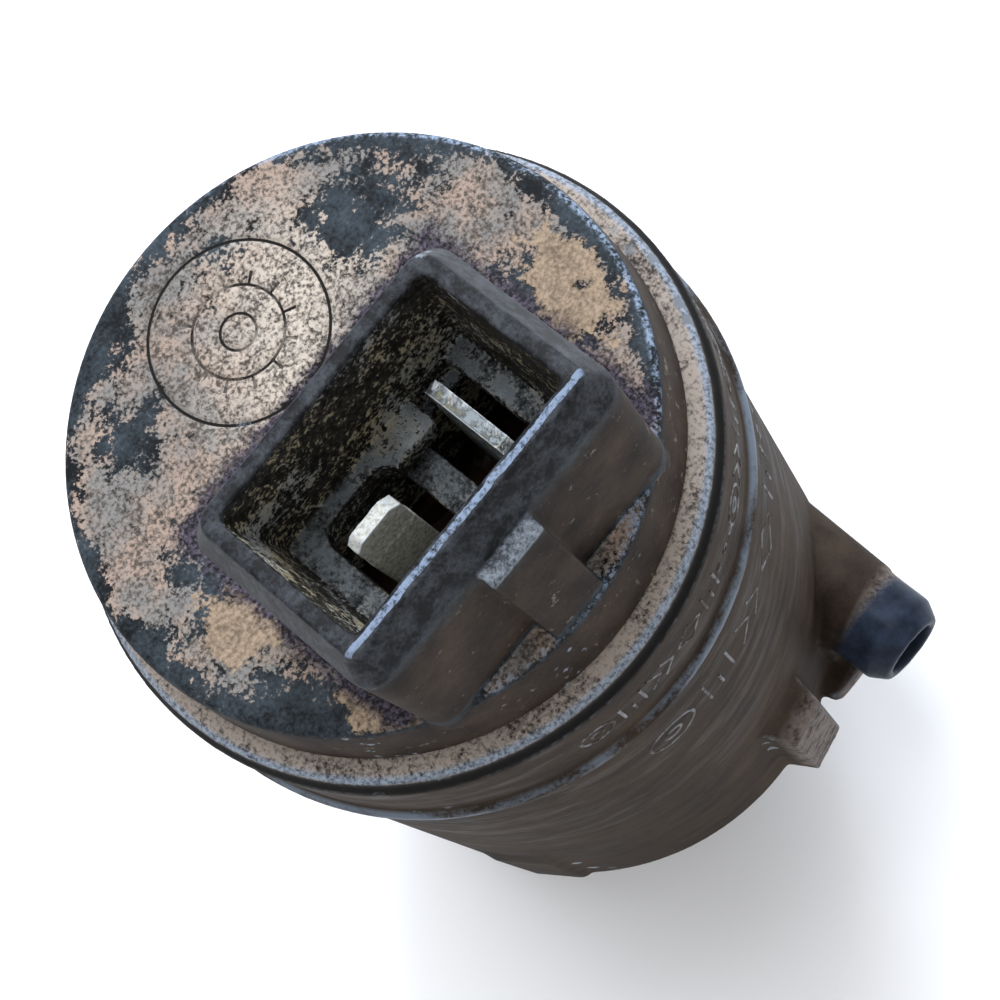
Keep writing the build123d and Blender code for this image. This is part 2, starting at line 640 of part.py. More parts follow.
def shaft():
    """Motor shaft, from the impeller hub up to the upper bush."""
    rod = disc(SHAFT_RADIUS, SHAFT_BOTTOM, SHAFT_TOP)
    return chamfer(rod.edges().group_by(Axis.Z)[-1], SHAFT_CHAMFER)


def pole(angle):
    """One pole of the armature core: a neck and its curved shoe."""
    half = POLE_NECK / 2
    neck = block((0, SHOE_INNER + POLE_SHOE / 2), (-half, half), CORE_BOTTOM, CORE_TOP)
    shoe = sector(CORE_RADIUS, SHOE_INNER, CORE_BOTTOM, CORE_TOP, 0, POLE_SPAN)
    return Rot(0, 0, angle) * (neck + shoe)


def armature_core():
    """Stack of steel laminations with three poles."""
    core = disc(CORE_HUB_RADIUS, CORE_BOTTOM, CORE_TOP)
    for number in range(POLE_COUNT):
        core += pole(number * 360 / POLE_COUNT)
    return core - disc(SHAFT_RADIUS, CORE_BOTTOM, CORE_TOP)


def winding(number):
    """Coil of enamelled wire round one pole's neck."""
    half_neck = POLE_NECK / 2
    radial = (COIL_INNER_X, COIL_OUTER_X)
    across = (-COIL_HALF_WIDTH, COIL_HALF_WIDTH)
    coil = block(radial, across, CORE_BOTTOM - COIL_END, CORE_TOP + COIL_END)
    coil = fillet(coil.edges().filter_by(Axis.X), COIL_END)
    coil -= block(radial, (-half_neck, half_neck), CORE_BOTTOM, CORE_TOP)
    return Rot(0, 0, number * 360 / POLE_COUNT) * coil


def commutator_hub():
    """Moulded hub that holds the copper segments on the shaft."""
    hub = disc(COMMUTATOR_HUB_RADIUS, COMMUTATOR_BOTTOM, COMMUTATOR_TOP)
    hub += disc(COMMUTATOR_RADIUS, COMMUTATOR_BOTTOM, COMMUTATOR_BOTTOM + SEGMENT_END)
    return hub - disc(SHAFT_RADIUS, COMMUTATOR_BOTTOM, COMMUTATOR_TOP)


def commutator_segments():
    """Three copper segments round the hub."""
    bottom = COMMUTATOR_BOTTOM + SEGMENT_END
    top = COMMUTATOR_TOP - SEGMENT_END
    segment = sector(COMMUTATOR_RADIUS, COMMUTATOR_HUB_RADIUS, bottom, top, 0, SEGMENT_SPAN)
    pitch = 360 / POLE_COUNT
    return Compound([Rot(0, 0, (number + 0.5) * pitch) * segment for number in range(POLE_COUNT)])


def thrust_washer(bottom):
    """Fibre washer on the shaft."""
    return ring(WASHER_RADIUS, SHAFT_RADIUS, bottom, bottom + WASHER_THICKNESS)


# ---------------------------------------------------------------- pump end


def shaft_seal():
    """Rubber seal round the shaft in the bulkhead."""
    return ring(SEAL_RADIUS, SHAFT_RADIUS + SEAL_FIT, BULKHEAD_BOTTOM, BULKHEAD_BOTTOM + SEAL_THICKNESS)


def seal_retainer():
    """Steel washer that keeps the seal in its seat."""
    return ring(SEAL_RADIUS, RETAINER_BORE, BULKHEAD_BOTTOM + SEAL_THICKNESS, BULKHEAD_TOP)


def vane():
    """One swept impeller vane."""
    start = at_angle(VANE_INNER_RADIUS, 0)
    end = at_angle(IMPELLER_RADIUS - VANE_THICKNESS, -VANE_SWEEP)
    bend = at_angle((VANE_INNER_RADIUS + IMPELLER_RADIUS) / 2, -VANE_BEND)
    line = ThreePointArc(start, bend, end)
    outline = trace(line, VANE_THICKNESS)
    return Pos(0, 0, VANE_BOTTOM) * extrude(outline, IMPELLER_DISC_BOTTOM - VANE_BOTTOM)


def impeller():
    """Open impeller: a back disc, a hub pressed on the shaft, and swept vanes."""
    wheel = disc(IMPELLER_RADIUS, IMPELLER_DISC_BOTTOM, IMPELLER_DISC_TOP)
    wheel += disc(IMPELLER_HUB_RADIUS, VANE_BOTTOM, IMPELLER_DISC_TOP)
    for number in range(VANE_COUNT):
        wheel += Rot(0, 0, number * 360 / VANE_COUNT) * vane()
    return wheel - disc(SHAFT_RADIUS, SHAFT_BOTTOM, IMPELLER_DISC_TOP)


def cover_gasket():
    """Round rubber ring between the cover and the casing."""
    middle_radius = COVER_RADIUS - GASKET_FIT - GASKET_WIRE
    place = Pos(middle_radius, 0, COVER_THICKNESS + GASKET_WIRE) * Rot(90, 0, 0)
    section = place * Circle(GASKET_WIRE)
    return revolve(section, Axis.Z)


def inlet_cover():
    """Cover that closes the pump chamber, with the inlet nipple under it."""
    profile = [
        (INLET_BORE_RADIUS, -NIPPLE_LENGTH),
        (NIPPLE_RADIUS - NIPPLE_TIP_INSET, -NIPPLE_LENGTH),
        (NIPPLE_RADIUS, NIPPLE_TIP_TAPER - NIPPLE_LENGTH),
        (NIPPLE_RADIUS, 0),
        (COVER_RADIUS - COVER_FIT, 0),
        (COVER_RADIUS - COVER_FIT, COVER_THICKNESS),
        (INLET_BORE_RADIUS, COVER_THICKNESS),
    ]
    cover = turned(profile)
    seat = INLET_BORE_RADIUS + STRAINER_WALL
    return cover - disc(seat, -NIPPLE_LENGTH, STRAINER_THICKNESS - NIPPLE_LENGTH)


def inlet_strainer():
    """Grid in the nipple's mouth that keeps grit out of the pump."""
    bottom = -NIPPLE_LENGTH
    top = bottom + STRAINER_THICKNESS
    outer = INLET_BORE_RADIUS + STRAINER_WALL
    rim = ring(outer, outer - STRAINER_WALL * 2, bottom, top)
    bars = []
    half_bar = STRAINER_BAR / 2
    for step in range(-STRAINER_BARS_EACH_SIDE, STRAINER_BARS_EACH_SIDE + 1):
        middle = step * STRAINER_PITCH
        bars.append(block((middle - half_bar, middle + half_bar), (-outer, outer), bottom, top))
        bars.append(block((-outer, outer), (middle - half_bar, middle + half_bar), bottom, top))
    grid = bars[0]
    for bar in bars[1:]:
        grid += bar
    return rim + (grid & disc(outer - STRAINER_WALL, bottom, top))


PARTS = {
    "end_cap": end_cap(),
    "pump_casing": pump_casing(),
    "wide_terminal": wide_terminal(),
    "narrow_terminal": narrow_terminal(),
    "brush_plate": brush_plate(),
    "right_brush_leaf": brush_leaf(1),
    "left_brush_leaf": brush_leaf(-1),
    "right_carbon_brush": carbon_brush(1),
    "left_carbon_brush": carbon_brush(-1),
    "upper_bush": bush(UPPER_BUSH_BOTTOM, UPPER_BUSH_TOP),
    "motor_can": motor_can(),
    "right_magnet": magnet(0),
    "left_magnet": magnet(180),
    "front_magnet_clip": magnet_clip(-90),
    "back_magnet_clip": magnet_clip(90),
    "lower_bush": bush(LOWER_BUSH_BOTTOM, LOWER_BUSH_TOP),
    "shaft_seal": shaft_seal(),
    "seal_retainer": seal_retainer(),
    "cover_gasket": cover_gasket(),
    "inlet_cover": inlet_cover(),
    "inlet_strainer": inlet_strainer(),
    "motor_shaft": shaft(),
    "armature_core": armature_core(),
    "commutator_hub": commutator_hub(),
    "commutator_segments": commutator_segments(),
    "lower_thrust_washer": thrust_washer(LOWER_BUSH_TOP + SHAFT_FIT),
    "upper_thrust_washer": thrust_washer(COMMUTATOR_TOP),
    "impeller": impeller(),
}
for number in range(POLE_COUNT):
    PARTS[f"winding_{number + 1}"] = winding(number)

os.makedirs("parts", exist_ok=True)
for node, shape in PARTS.items():
    export_step(shape, f"parts/{node}.step")
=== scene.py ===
# %% [markdown]
# # A used windscreen washer pump
# A small motor pump in black moulded plastic, seen from above its plug socket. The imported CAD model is
# the fixed frame: its parts give every place and size, and this script gives them their finish. All
# lengths here are in metres, and MM turns millimetres into metres.

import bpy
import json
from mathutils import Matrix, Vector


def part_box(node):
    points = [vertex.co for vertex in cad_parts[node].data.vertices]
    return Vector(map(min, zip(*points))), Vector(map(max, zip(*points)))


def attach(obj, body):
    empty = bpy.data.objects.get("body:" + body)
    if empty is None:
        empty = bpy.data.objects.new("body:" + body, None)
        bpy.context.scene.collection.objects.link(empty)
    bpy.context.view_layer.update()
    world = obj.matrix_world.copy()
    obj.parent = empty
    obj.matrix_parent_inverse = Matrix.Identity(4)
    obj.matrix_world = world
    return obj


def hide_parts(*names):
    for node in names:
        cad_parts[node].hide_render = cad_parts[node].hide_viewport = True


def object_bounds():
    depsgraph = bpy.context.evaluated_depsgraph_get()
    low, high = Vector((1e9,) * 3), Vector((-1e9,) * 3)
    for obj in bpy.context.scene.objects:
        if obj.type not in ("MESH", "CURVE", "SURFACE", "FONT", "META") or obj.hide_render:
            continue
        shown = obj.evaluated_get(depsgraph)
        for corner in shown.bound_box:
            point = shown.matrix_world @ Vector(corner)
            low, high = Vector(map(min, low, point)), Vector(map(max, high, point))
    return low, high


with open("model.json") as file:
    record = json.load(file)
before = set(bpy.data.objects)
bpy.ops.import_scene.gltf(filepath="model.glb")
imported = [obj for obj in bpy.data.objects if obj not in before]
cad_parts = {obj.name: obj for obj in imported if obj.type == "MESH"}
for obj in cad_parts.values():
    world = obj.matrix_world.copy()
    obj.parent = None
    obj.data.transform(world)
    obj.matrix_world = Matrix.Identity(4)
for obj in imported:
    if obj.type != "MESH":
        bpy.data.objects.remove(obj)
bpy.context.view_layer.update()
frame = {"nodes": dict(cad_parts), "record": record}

import json
import math
from types import SimpleNamespace

import bmesh
import bpy
import numpy as np
from mathutils import Matrix, Vector, noise

MM = 0.001


# %% [markdown]
# ## Small helpers
# Colours are written as sRGB hex values, because that is how a colour is picked. Shader sockets
# want linear values, so one function does that change. A second function adds a node, sets what it is
# given and links the rest, so that a material reads as a short list.


# %% Colour and node helpers
def linear(hex_colour):
    """Linear RGBA from an sRGB hex colour."""
    channels = []
    for place in (1, 3, 5):
        value = int(hex_colour[place:place + 2], 16) / 255
        channels.append(value / 12.92 if value <= 0.04045 else ((value + 0.055) / 1.055) ** 2.4)
    return (*channels, 1.0)


def add(tree, kind, settings=None, **inputs):
    """Adds a node. An input is a number, a colour, another node (its live output) or a socket."""
    made = tree.nodes.new("ShaderNode" + kind)
    for name, value in (settings or {}).items():
        setattr(made, name, value)
    for name, value in inputs.items():
        if name[0] == "i" and name[1:].isdigit():
            socket = made.inputs[int(name[1:])]
        else:
            socket = next(s for s in made.inputs if s.name == name.replace("_", " ") and s.enabled)
        if isinstance(value, bpy.types.Node):
            value = next(s for s in value.outputs if s.enabled)
        if isinstance(value, bpy.types.NodeSocket):
            tree.links.new(value, socket)
        elif isinstance(value, str):
            socket.default_value = linear(value)
        else:
            socket.default_value = value
    return made


def new_material(name, colour, roughness, metallic=0.0, ior=1.5, gloss=0.5):
    """Material with its tree, shader and place in the row frame. A dull film lowers the gloss."""
    material = bpy.data.materials.new(name)
    material.use_nodes = True
    tree = material.node_tree
    shader = tree.nodes["Principled BSDF"]
    shader.inputs["Base Color"].default_value = linear(colour)
    shader.inputs["Roughness"].default_value = roughness
    shader.inputs["Metallic"].default_value = metallic
    if not metallic:
        shader.inputs["IOR"].default_value = ior
        shader.inputs["Specular IOR Level"].default_value = gloss
    place = add(tree, "TexCoord").outputs["Object"]
    return material, tree, shader, place


print("helpers ready")

# %% [markdown]
# ## Camera
# The pump is seen from above and a little in front, close up, so near things look larger. The camera is
# placed by a direction, a roll and a point, and it looks straight along that direction.

# %% Camera
VIEW_ELEVATION = math.radians(69.35)
VIEW_AZIMUTH = math.radians(-3.45)
VIEW_ROLL = math.radians(-47.5)
LENS_MM = 79.2
SENSOR_MM = 36.0

EYE_MM = (-0.52, -41.65, 136.83)

floor_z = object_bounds()[0].z
rim_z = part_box("end_cap")[1].z
ledge_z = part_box("pump_casing")[1].z
tip_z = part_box("wide_terminal")[1].z

towards = Vector((
    math.cos(VIEW_ELEVATION) * math.sin(VIEW_AZIMUTH),
    -math.cos(VIEW_ELEVATION) * math.cos(VIEW_AZIMUTH),
    math.sin(VIEW_ELEVATION),
))
flat_right = Vector((math.cos(VIEW_AZIMUTH), math.sin(VIEW_AZIMUTH), 0))
flat_up = towards.cross(flat_right)
right = flat_right * math.cos(VIEW_ROLL) + flat_up * math.sin(VIEW_ROLL)
up = towards.cross(right)

eye_data = bpy.data.cameras.new("camera")
eye_data.lens = LENS_MM
eye_data.sensor_width = SENSOR_MM
eye_data.clip_start = 5 * MM
camera = bpy.data.objects.new("camera", eye_data)
camera.matrix_world = Matrix((right, up, towards)).transposed().to_4x4()
camera.location = Vector(EYE_MM) * MM
bpy.context.scene.collection.objects.link(camera)
bpy.context.scene.camera = camera
print("camera to cap:", round((camera.location - Vector((0, 0, rim_z))).length / MM, 1), "mm")

# %% [markdown]
# ## Floor and light
# A plain pale floor, a broad lamp overhead and a window-like lamp behind. The broad lamp gives worn
# plastic its pale sheen, and the second one draws the far edges.


# %% Floor and lamps
FLOOR_SIZE = 1.2
# The tooth of real paper is near 0.1 mm. It is drawn at 0.8 mm, so that it shows.
PAPER_TOOTH = 0.8 * MM
PAPER_RELIEF = 0.05 * MM
SKY_STRENGTH = 0.7
scene = bpy.context.scene
scene.view_settings.view_transform = "Standard"


def studio_floor():
    """Pale sheet under the part, with a faint paper tooth."""
    sheet = bmesh.new()
    bmesh.ops.create_grid(sheet, x_segments=8, y_segments=8, size=FLOOR_SIZE / 2)
    mesh = bpy.data.meshes.new("studio_floor")
    sheet.to_mesh(mesh)
    sheet.free()
    floor = bpy.data.objects.new("studio_floor", mesh)
    floor.location.z = floor_z
    scene.collection.objects.link(floor)
    paper, tree, shader, place = new_material("matt white paper", "#f7f7f7", 0.9)
    tooth = add(tree, "TexNoise", Vector=place, Scale=1 / PAPER_TOOTH, Detail=3.0)
    bump = add(tree, "Bump", Height=tooth, Strength=0.05, Distance=PAPER_RELIEF)
    tree.links.new(bump.outputs[0], shader.inputs["Normal"])
    mesh.materials.append(paper)


def soft_lamp(name, place, size, power, colour):
    """Square area lamp aimed at the upper casing."""
    data = bpy.data.lights.new(name, "AREA")
    data.shape = "SQUARE"
    data.size = size
    data.energy = power
    data.color = linear(colour)[:3]
    lamp = bpy.data.objects.new(name, data)
    lamp.location = place
    aim = Vector((0, 0, ledge_z)) - Vector(place)
    lamp.rotation_euler = aim.to_track_quat("-Z", "Y").to_euler()
    scene.collection.objects.link(lamp)


studio_floor()
soft_lamp("sky_lamp", (0.06, 0.14, 0.46), 0.26, 1.8, "#f4f8ff")
soft_lamp("window_lamp", (0.30, 0.22, 0.22), 0.18, 1.6, "#eaf2ff")
soft_lamp("fill_lamp", (-0.35, -0.30, 0.30), 0.30, 0.15, "#fff6ea")
world = bpy.data.worlds.new("studio_world")
world.use_nodes = True
world.node_tree.nodes["Background"].inputs["Color"].default_value = linear("#fbfcff")
world.node_tree.nodes["Background"].inputs["Strength"].default_value = SKY_STRENGTH
scene.world = world


# %% [markdown]
# ## Building a used surface in layers
# Old plastic is a stack: the bare moulding, a film of dirt, dust that sticks in patches, and wear that
# takes all of it off again at the edges. Each layer here has a mask, a colour, a roughness and a height
# in millimetres, and it is mixed over what lies under it. One texture could hold it all, but layers can
# be moved and tuned one at a time.


# %% Masks and layers
def ramp(tree, value, start, end):
    """Mask that is 0 at start, 1 at end and even between them. Swapped limits turn it round."""
    return add(tree, "MapRange", None, Value=value, From_Min=start, From_Max=end)


def blotches(tree, place, size_mm, start, end, detail=6.0, breakup=0.62):
    """Mask of irregular blotches about size_mm across."""
    cloud = add(tree, "TexNoise", None, Vector=place, Scale=1 / size_mm, Detail=detail, Roughness=breakup)
    return ramp(tree, cloud, start, end)


def all_of(tree, first, *others):
    """Mask that holds where every given mask holds."""
    for other in others:
        first = add(tree, "Math", {"operation": "MULTIPLY"}, i0=first, i1=other)
    return first


def any_of(tree, first, *others):
    """Mask that holds where any given mask holds."""
    for other in others:
        first = add(tree, "Math", {"operation": "MAXIMUM"}, i0=first, i1=other)
    return first


def summed(tree, first, *weighted):
    """A value with other values added to it, each times its weight."""
    for other, weight in weighted:
        first = add(tree, "Math", {"operation": "MULTIPLY_ADD"}, i0=other, i1=weight, i2=first)
    return first


def near_spots(tree, flat, spots, reach_mm):
    """Mask that is 1 at each (x, y) spot in mm and falls to 0 at reach_mm from it."""
    hits = []
    for x, y in spots:
        far = add(tree, "VectorMath", {"operation": "DISTANCE"}, i0=flat, i1=(x, y, 0)).outputs["Value"]
        hits.append(ramp(tree, far, reach_mm, 0))
    return any_of(tree, *hits)


def layer(tree, under, mask, colour, roughness, height):
    """Lays a finish over what is under it, where the mask is 1."""
    made = []
    for kind, below, above in zip(("RGBA", "FLOAT", "FLOAT"), under, (colour, roughness, height)):
        made.append(add(tree, "Mix", {"data_type": kind}, Factor=mask, A=below, B=above))
    return made


def two_tone(tree, mask, dark, light):
    """Colour that goes from dark to light with the mask."""
    return add(tree, "Mix", {"data_type": "RGBA"}, Factor=mask, A=dark, B=light)


def finished(tree, shader, surface):
    """Joins a stack of layers to the shader, with the height as a bump."""
    colour, roughness, height = surface
    bump = add(tree, "Bump", None, Height=height, Distance=MM)
    for node, socket in ((colour, "Base Color"), (roughness, "Roughness"), (bump, "Normal")):
        tree.links.new(next(s for s in node.outputs if s.enabled), shader.inputs[socket])


print("layer helpers ready")


# %% [markdown]
# ## Moulded pieces
# The cap and the casing are injection mouldings, so no edge on them is truly sharp. A copy of the CAD
# part is rebuilt as an even skin of small faces and then smoothed a little, which rounds each edge and
# fills each inner corner by the same small radius, as a mould does. A bevel would do it too, but it
# fails where a rib, a spigot and a barrel meet.


# %% Moulded skin
CAP_SKIN = 0.13 * MM
CASING_SKIN = 0.20 * MM


def changed_by(piece, modifiers):
    """Puts modifiers on a piece and keeps their result as its mesh."""
    for kind, settings in modifiers:
        modifier = piece.modifiers.new(kind, kind)
        for name, value in settings.items():
            setattr(modifier, name, value)
    ready = piece.evaluated_get(bpy.context.evaluated_depsgraph_get())
    mesh = bpy.data.meshes.new_from_object(ready)
    piece.modifiers.clear()
    piece.data = mesh


def copy_of(source, name):
    """Free copy of a CAD part, with its doubled corners joined."""
    piece = bpy.data.objects.new(name, frame["nodes"][source].data.copy())
    piece.data.materials.clear()
    scene.collection.objects.link(piece)
    changed_by(piece, [("WELD", {"merge_threshold": 0.001 * MM})])
    return piece


def moulded(source, name, skin, rounds):
    """Copy of a CAD part with rounded edges, which stands for that part."""
    piece = copy_of(source, name)
    changed_by(piece, [
        ("REMESH", {"mode": "VOXEL", "voxel_size": skin, "use_smooth_shade": True}),
        ("SMOOTH", {"factor": 0.5, "iterations": rounds}),
    ])
    return piece


def stands_for(piece, source, body, material):
    """Gives a finished piece its finish, its body and the CAD part that it replaces."""
    piece.data.materials.clear()
    piece.data.materials.append(material)
    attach(piece, body)
    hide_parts(source)
    print(piece.name, "has", len(piece.data.polygons), "faces")


cap = moulded("end_cap", "end_cap_moulding", CAP_SKIN, 3)
casing = moulded("pump_casing", "pump_casing_moulding", CASING_SKIN, 3)
print("skins:", len(cap.data.polygons), len(casing.data.polygons))


# %% [markdown]
# ## The end cap
# The cap is glass-filled nylon, injection moulded in black. Under the bonnet it has picked up dust that
# dried on in patches and tan mud splashes, and every upright wall is painted brown for its shade and the
# warm light it reflects. The skin of the copy is dense, so that fine relief can be pressed into the mesh
# itself.

# %% The cap's places, in millimetres
SHROUD_HEIGHT = 11.8
SHROUD_HALF_WIDTH = 5.3
LIP_HEIGHT = 1.9
SOCKET_FLOOR_HEIGHT = 5.2
MOUTH_HALF_LENGTH = 6.35
MOUTH_HALF_WIDTH = 3.8
SOCKET_CENTRE_Y = -7.4
LATCH_HALF_WIDTH = 1.55
MARK_CENTRE = (0.0, 7.4)
MARK_RADIUS = 4.5
DIAL_RADIUS = 2.3
HUB_RADIUS = 0.9
TICKS = 12
TICK_LENGTH = 0.7
GROOVE_HALF = 0.15
GROOVE_DEPTH = 0.12

rim_mm = rim_z / MM
plate_mm = rim_mm - SHROUD_HEIGHT
cap_edge_mm = 14.15  # radius from which the plate's dust and edge wear are measured
print("cap plate at", round(plate_mm, 2), "mm, rim at", round(rim_mm, 2), "mm")


# %% [markdown]
# ## Press the mark
# The maker's mark on such a cap is pressed by an insert in the mould. Here it is a plain ring round a
# small dial with twelve ticks, like a date clock. The mesh's own points are moved down by the depth of
# the nearest groove, so the mark is real relief and not only a pattern.


# %% Press the mark into the cap
def groove_depth(x, y):
    """Depth in mm of the ring, the dial's ring and its ticks at a point on the plate."""
    across = np.hypot(x - MARK_CENTRE[0], y - MARK_CENTRE[1])
    turn = np.arctan2(y - MARK_CENTRE[1], x - MARK_CENTRE[0]) * TICKS / (2 * np.pi)
    to_tick = np.abs(turn - np.round(turn)) * 2 * np.pi / TICKS * across
    between = (across > DIAL_RADIUS) & (across < DIAL_RADIUS + TICK_LENGTH)
    gaps = [np.abs(across - MARK_RADIUS), np.abs(across - DIAL_RADIUS), np.abs(across - HUB_RADIUS)]
    gaps.append(np.where(between, to_tick, 1.0))
    nearest = np.minimum.reduce(gaps)
    return GROOVE_DEPTH * np.clip(1.3 - nearest / GROOVE_HALF, 0, 1)


def press_mark(piece):
    """Flattens the plate round the mark and presses the grooves into it."""
    mesh = piece.data
    points = np.empty(len(mesh.vertices) * 3)
    mesh.vertices.foreach_get("co", points)
    points = points.reshape(-1, 3) / MM
    across = np.hypot(points[:, 0] - MARK_CENTRE[0], points[:, 1] - MARK_CENTRE[1])
    on_plate = (across < MARK_RADIUS + 0.4) & (np.abs(points[:, 2] - plate_mm) < 0.4)
    depth = groove_depth(points[:, 0], points[:, 1])
    points[on_plate, 2] = plate_mm - depth[on_plate]
    mesh.vertices.foreach_set("co", (points * MM).ravel())
    mesh.update()
    print("mark pressed into", int(on_plate.sum()), "points")


press_mark(cap)


# %% [markdown]
# ## What the dirt masks are made from
# Dust, film and wear follow a few plain things: how high a point is, how far it is from the middle, which
# way its face looks, how sharp the edge is, and some grain. They are worked out once for a piece and kept
# together under one name. Real moulding grain is near 0.05 mm, too fine to show, so the fine grain is
# drawn at 0.21 mm.

# %% Fields of a used moulding
FINE_MM = 0.21
MIDDLE_MM = 0.9


def fields(tree, place, broad_mm, broad_detail):
    """Places in mm, directions, edges and grains that a used moulding's masks share."""
    at = SimpleNamespace()
    at.mm = add(tree, "VectorMath", {"operation": "SCALE"}, i0=place, Scale=1 / MM)
    at.x, at.y, at.z = add(tree, "SeparateXYZ", None, Vector=at.mm).outputs
    at.flat = add(tree, "CombineXYZ", None, X=at.x, Y=at.y)
    at.out = add(tree, "VectorMath", {"operation": "LENGTH"}, i0=at.flat).outputs["Value"]
    geometry = add(tree, "NewGeometry")
    at.edges = geometry.outputs["Pointiness"]
    at.upright = add(tree, "SeparateXYZ", None, Vector=geometry.outputs["Normal"]).outputs[2]
    at.fine = add(tree, "TexNoise", None, Vector=at.mm, Scale=1 / FINE_MM, Detail=3.0, Roughness=0.7)
    at.middle = add(tree, "TexNoise", None, Vector=at.mm, Scale=1 / MIDDLE_MM, Detail=3.0, Roughness=0.6)
    wide = {"Scale": 1 / broad_mm, "Detail": broad_detail, "Roughness": 0.6}
    at.broad = add(tree, "TexNoise", None, Vector=at.mm, **wide)
    return at


print("grains of", FINE_MM, "and", MIDDLE_MM, "mm")

# %% [markdown]
# ## Dust and mud on the cap
# A few places on the cap, in millimetres from its middle, say where each kind of dirt sits, and where the
# dust by the mark is painted paler as a sheen. Noise then breaks their outlines, so that no patch has a
# drawn edge. Dust is thin and dull. Mud is thicker, lighter and wholly matt, and it lies on the dust.

# %% Dust and mud
CLEAN_SPOTS = [(7, 7), (10, 6), (-7, 8), (-9, 1), (-4, 13), (8, -4), (-12, -7), (-6, -12)]
DUST_SPOTS = [(-2, 8), (6, 12), (12, 6), (-9, 4), (1, 6), (-5, 5)]
MUD_SPOTS = [(-10, -2), (-9, -9), (-8, -11), (11, -3), (10, -5)]
CRESCENT_SPOTS = [(5, -13), (-4, -13)]
# Painted sheen: places where the dust by the mark is painted paler, standing for light on it.
SHEEN_SPOTS = [(1.6, 5.2), (0.2, 3.6), (3.2, 6.6)]


def dusted_and_sheened(tree, at, surface):
    """Pinkish beige dust, dried on in ragged patches with pin holes, and paler by the mark with a painted
    sheen.
    """
    field = summed(
        tree, at.patch,
        (near_spots(tree, at.flat, DUST_SPOTS, 5.2), 0.10),
        (near_spots(tree, at.flat, CRESCENT_SPOTS, 5.0), 0.42),
        (near_spots(tree, at.flat, CLEAN_SPOTS, 3.3), -0.26),
        (ramp(tree, at.out, cap_edge_mm - 1.4, cap_edge_mm - 0.3), -0.22),
        (at.middle, 0.55),
        (at.fine, 0.50),
    )
    dust = all_of(tree, at.plate, ramp(tree, field, 0.905, 0.955))
    warm = two_tone(tree, blotches(tree, at.mm, 2.6, 0.42, 0.58), "#7d7b78", "#9c8a7d")
    dust_and_sheen = two_tone(tree, near_spots(tree, at.flat, SHEEN_SPOTS, 6.0), warm, "#c3b8aa")
    grain = ramp(tree, summed(tree, at.fine, (at.middle, 0.35)), 0.56, 0.76)
    return layer(tree, surface, dust, two_tone(tree, grain, "#4b4540", dust_and_sheen), 0.92, 0.05)


def muddied(tree, at, surface):
    """Tan splashes on top of the dust."""
    spots = near_spots(tree, at.flat, MUD_SPOTS, 3.6)
    splash = summed(tree, spots, (at.patch, 1.9), (at.middle, 0.9), (at.fine, 0.4))
    mud = all_of(tree, at.plate, ramp(tree, splash, 2.06, 2.14))
    grain = ramp(tree, summed(tree, at.fine, (at.middle, 0.5)), 0.60, 0.92)
    return layer(tree, surface, mud, two_tone(tree, grain, "#6a5d4f", "#a08d78"), 0.95, 0.07)


print("dirt places:", len(CLEAN_SPOTS + DUST_SPOTS + MUD_SPOTS + CRESCENT_SPOTS + SHEEN_SPOTS))

# %% [markdown]
# ## Dark band and the mark
# A dark, purple-grey speckled band lies round the foot of the shroud. The pressed ring and the dial are
# cut too fine to shade themselves, so their shade and the dirt in them are painted where the grooves are.


# %% Dark band round the shroud, and the mark's shade and dirt
def darkened_round_shroud(tree, at, surface):
    """Dark, purple-grey speckled band round the foot of the shroud."""
    beside = ramp(tree, summed(tree, at.reach_x, (at.middle, 1.6), (at.fine, 0.8)), 10.9, 10.1)
    behind = ramp(tree, summed(tree, at.y, (at.middle, 1.6), (at.fine, 0.8)), 5.0, 4.3)
    front = ramp(tree, summed(tree, at.y, (at.middle, 1.6)), -11.2, -10.2)
    speckle = ramp(tree, summed(tree, at.middle, (at.fine, 0.6)), 0.58, 0.68)
    # A darker, purple-grey speckled band round the foot of the shroud.
    dark_band = all_of(tree, at.plate, beside, behind, front, speckle)
    purple_grey = two_tone(tree, ramp(tree, at.fine, 0.42, 0.66), "#151317", "#574f5c")
    return layer(tree, surface, dark_band, purple_grey, 0.6, 0.03)


def dial_lines(tree, radius, across, up_plate):
    """Mask of the dial's two rings and its ticks."""
    rings = [
        add(tree, "Math", {"operation": "COMPARE"}, i0=radius, i1=size, i2=0.07)
        for size in (DIAL_RADIUS, HUB_RADIUS)
    ]
    turn = add(tree, "Math", {"operation": "ARCTAN2"}, i0=up_plate, i1=across)
    step = add(tree, "Math", {"operation": "MULTIPLY"}, i0=turn, i1=TICKS / (2 * math.pi))
    part = add(tree, "Math", {"operation": "PINGPONG"}, i0=step, i1=0.5)
    tick = all_of(
        tree, ramp(tree, part, 0.06, 0.04), ramp(tree, radius, DIAL_RADIUS, DIAL_RADIUS + 0.05),
        ramp(tree, radius, DIAL_RADIUS + TICK_LENGTH, DIAL_RADIUS + TICK_LENGTH - 0.05),
    )
    return any_of(tree, tick, *rings)


def mark_shade_and_dirt(tree, at, surface):
    """Painted groove shade and dirt, all along the ring and in parts of the dial."""
    shifted = add(tree, "VectorMath", {"operation": "SUBTRACT"}, i0=at.flat, i1=(*MARK_CENTRE, 0))
    radius = add(tree, "VectorMath", {"operation": "LENGTH"}, i0=shifted).outputs["Value"]
    ring = add(tree, "Math", {"operation": "COMPARE"}, i0=radius, i1=MARK_RADIUS, i2=0.075)
    across, up_plate, _ = add(tree, "SeparateXYZ", None, Vector=shifted).outputs
    held = ramp(tree, summed(tree, at.broad, (at.fine, 0.5)), 0.62, 0.86)
    faint = all_of(tree, dial_lines(tree, radius, across, up_plate), held)
    # Painted shade: the dark stands for the shade in the grooves, and for the dirt held in them.
    return layer(tree, surface, all_of(tree, at.plate, any_of(tree, ring, faint)), "#1d1b1a", 0.8, 0.0)


print("mark ring of", MARK_RADIUS, "mm with", TICKS, "ticks")
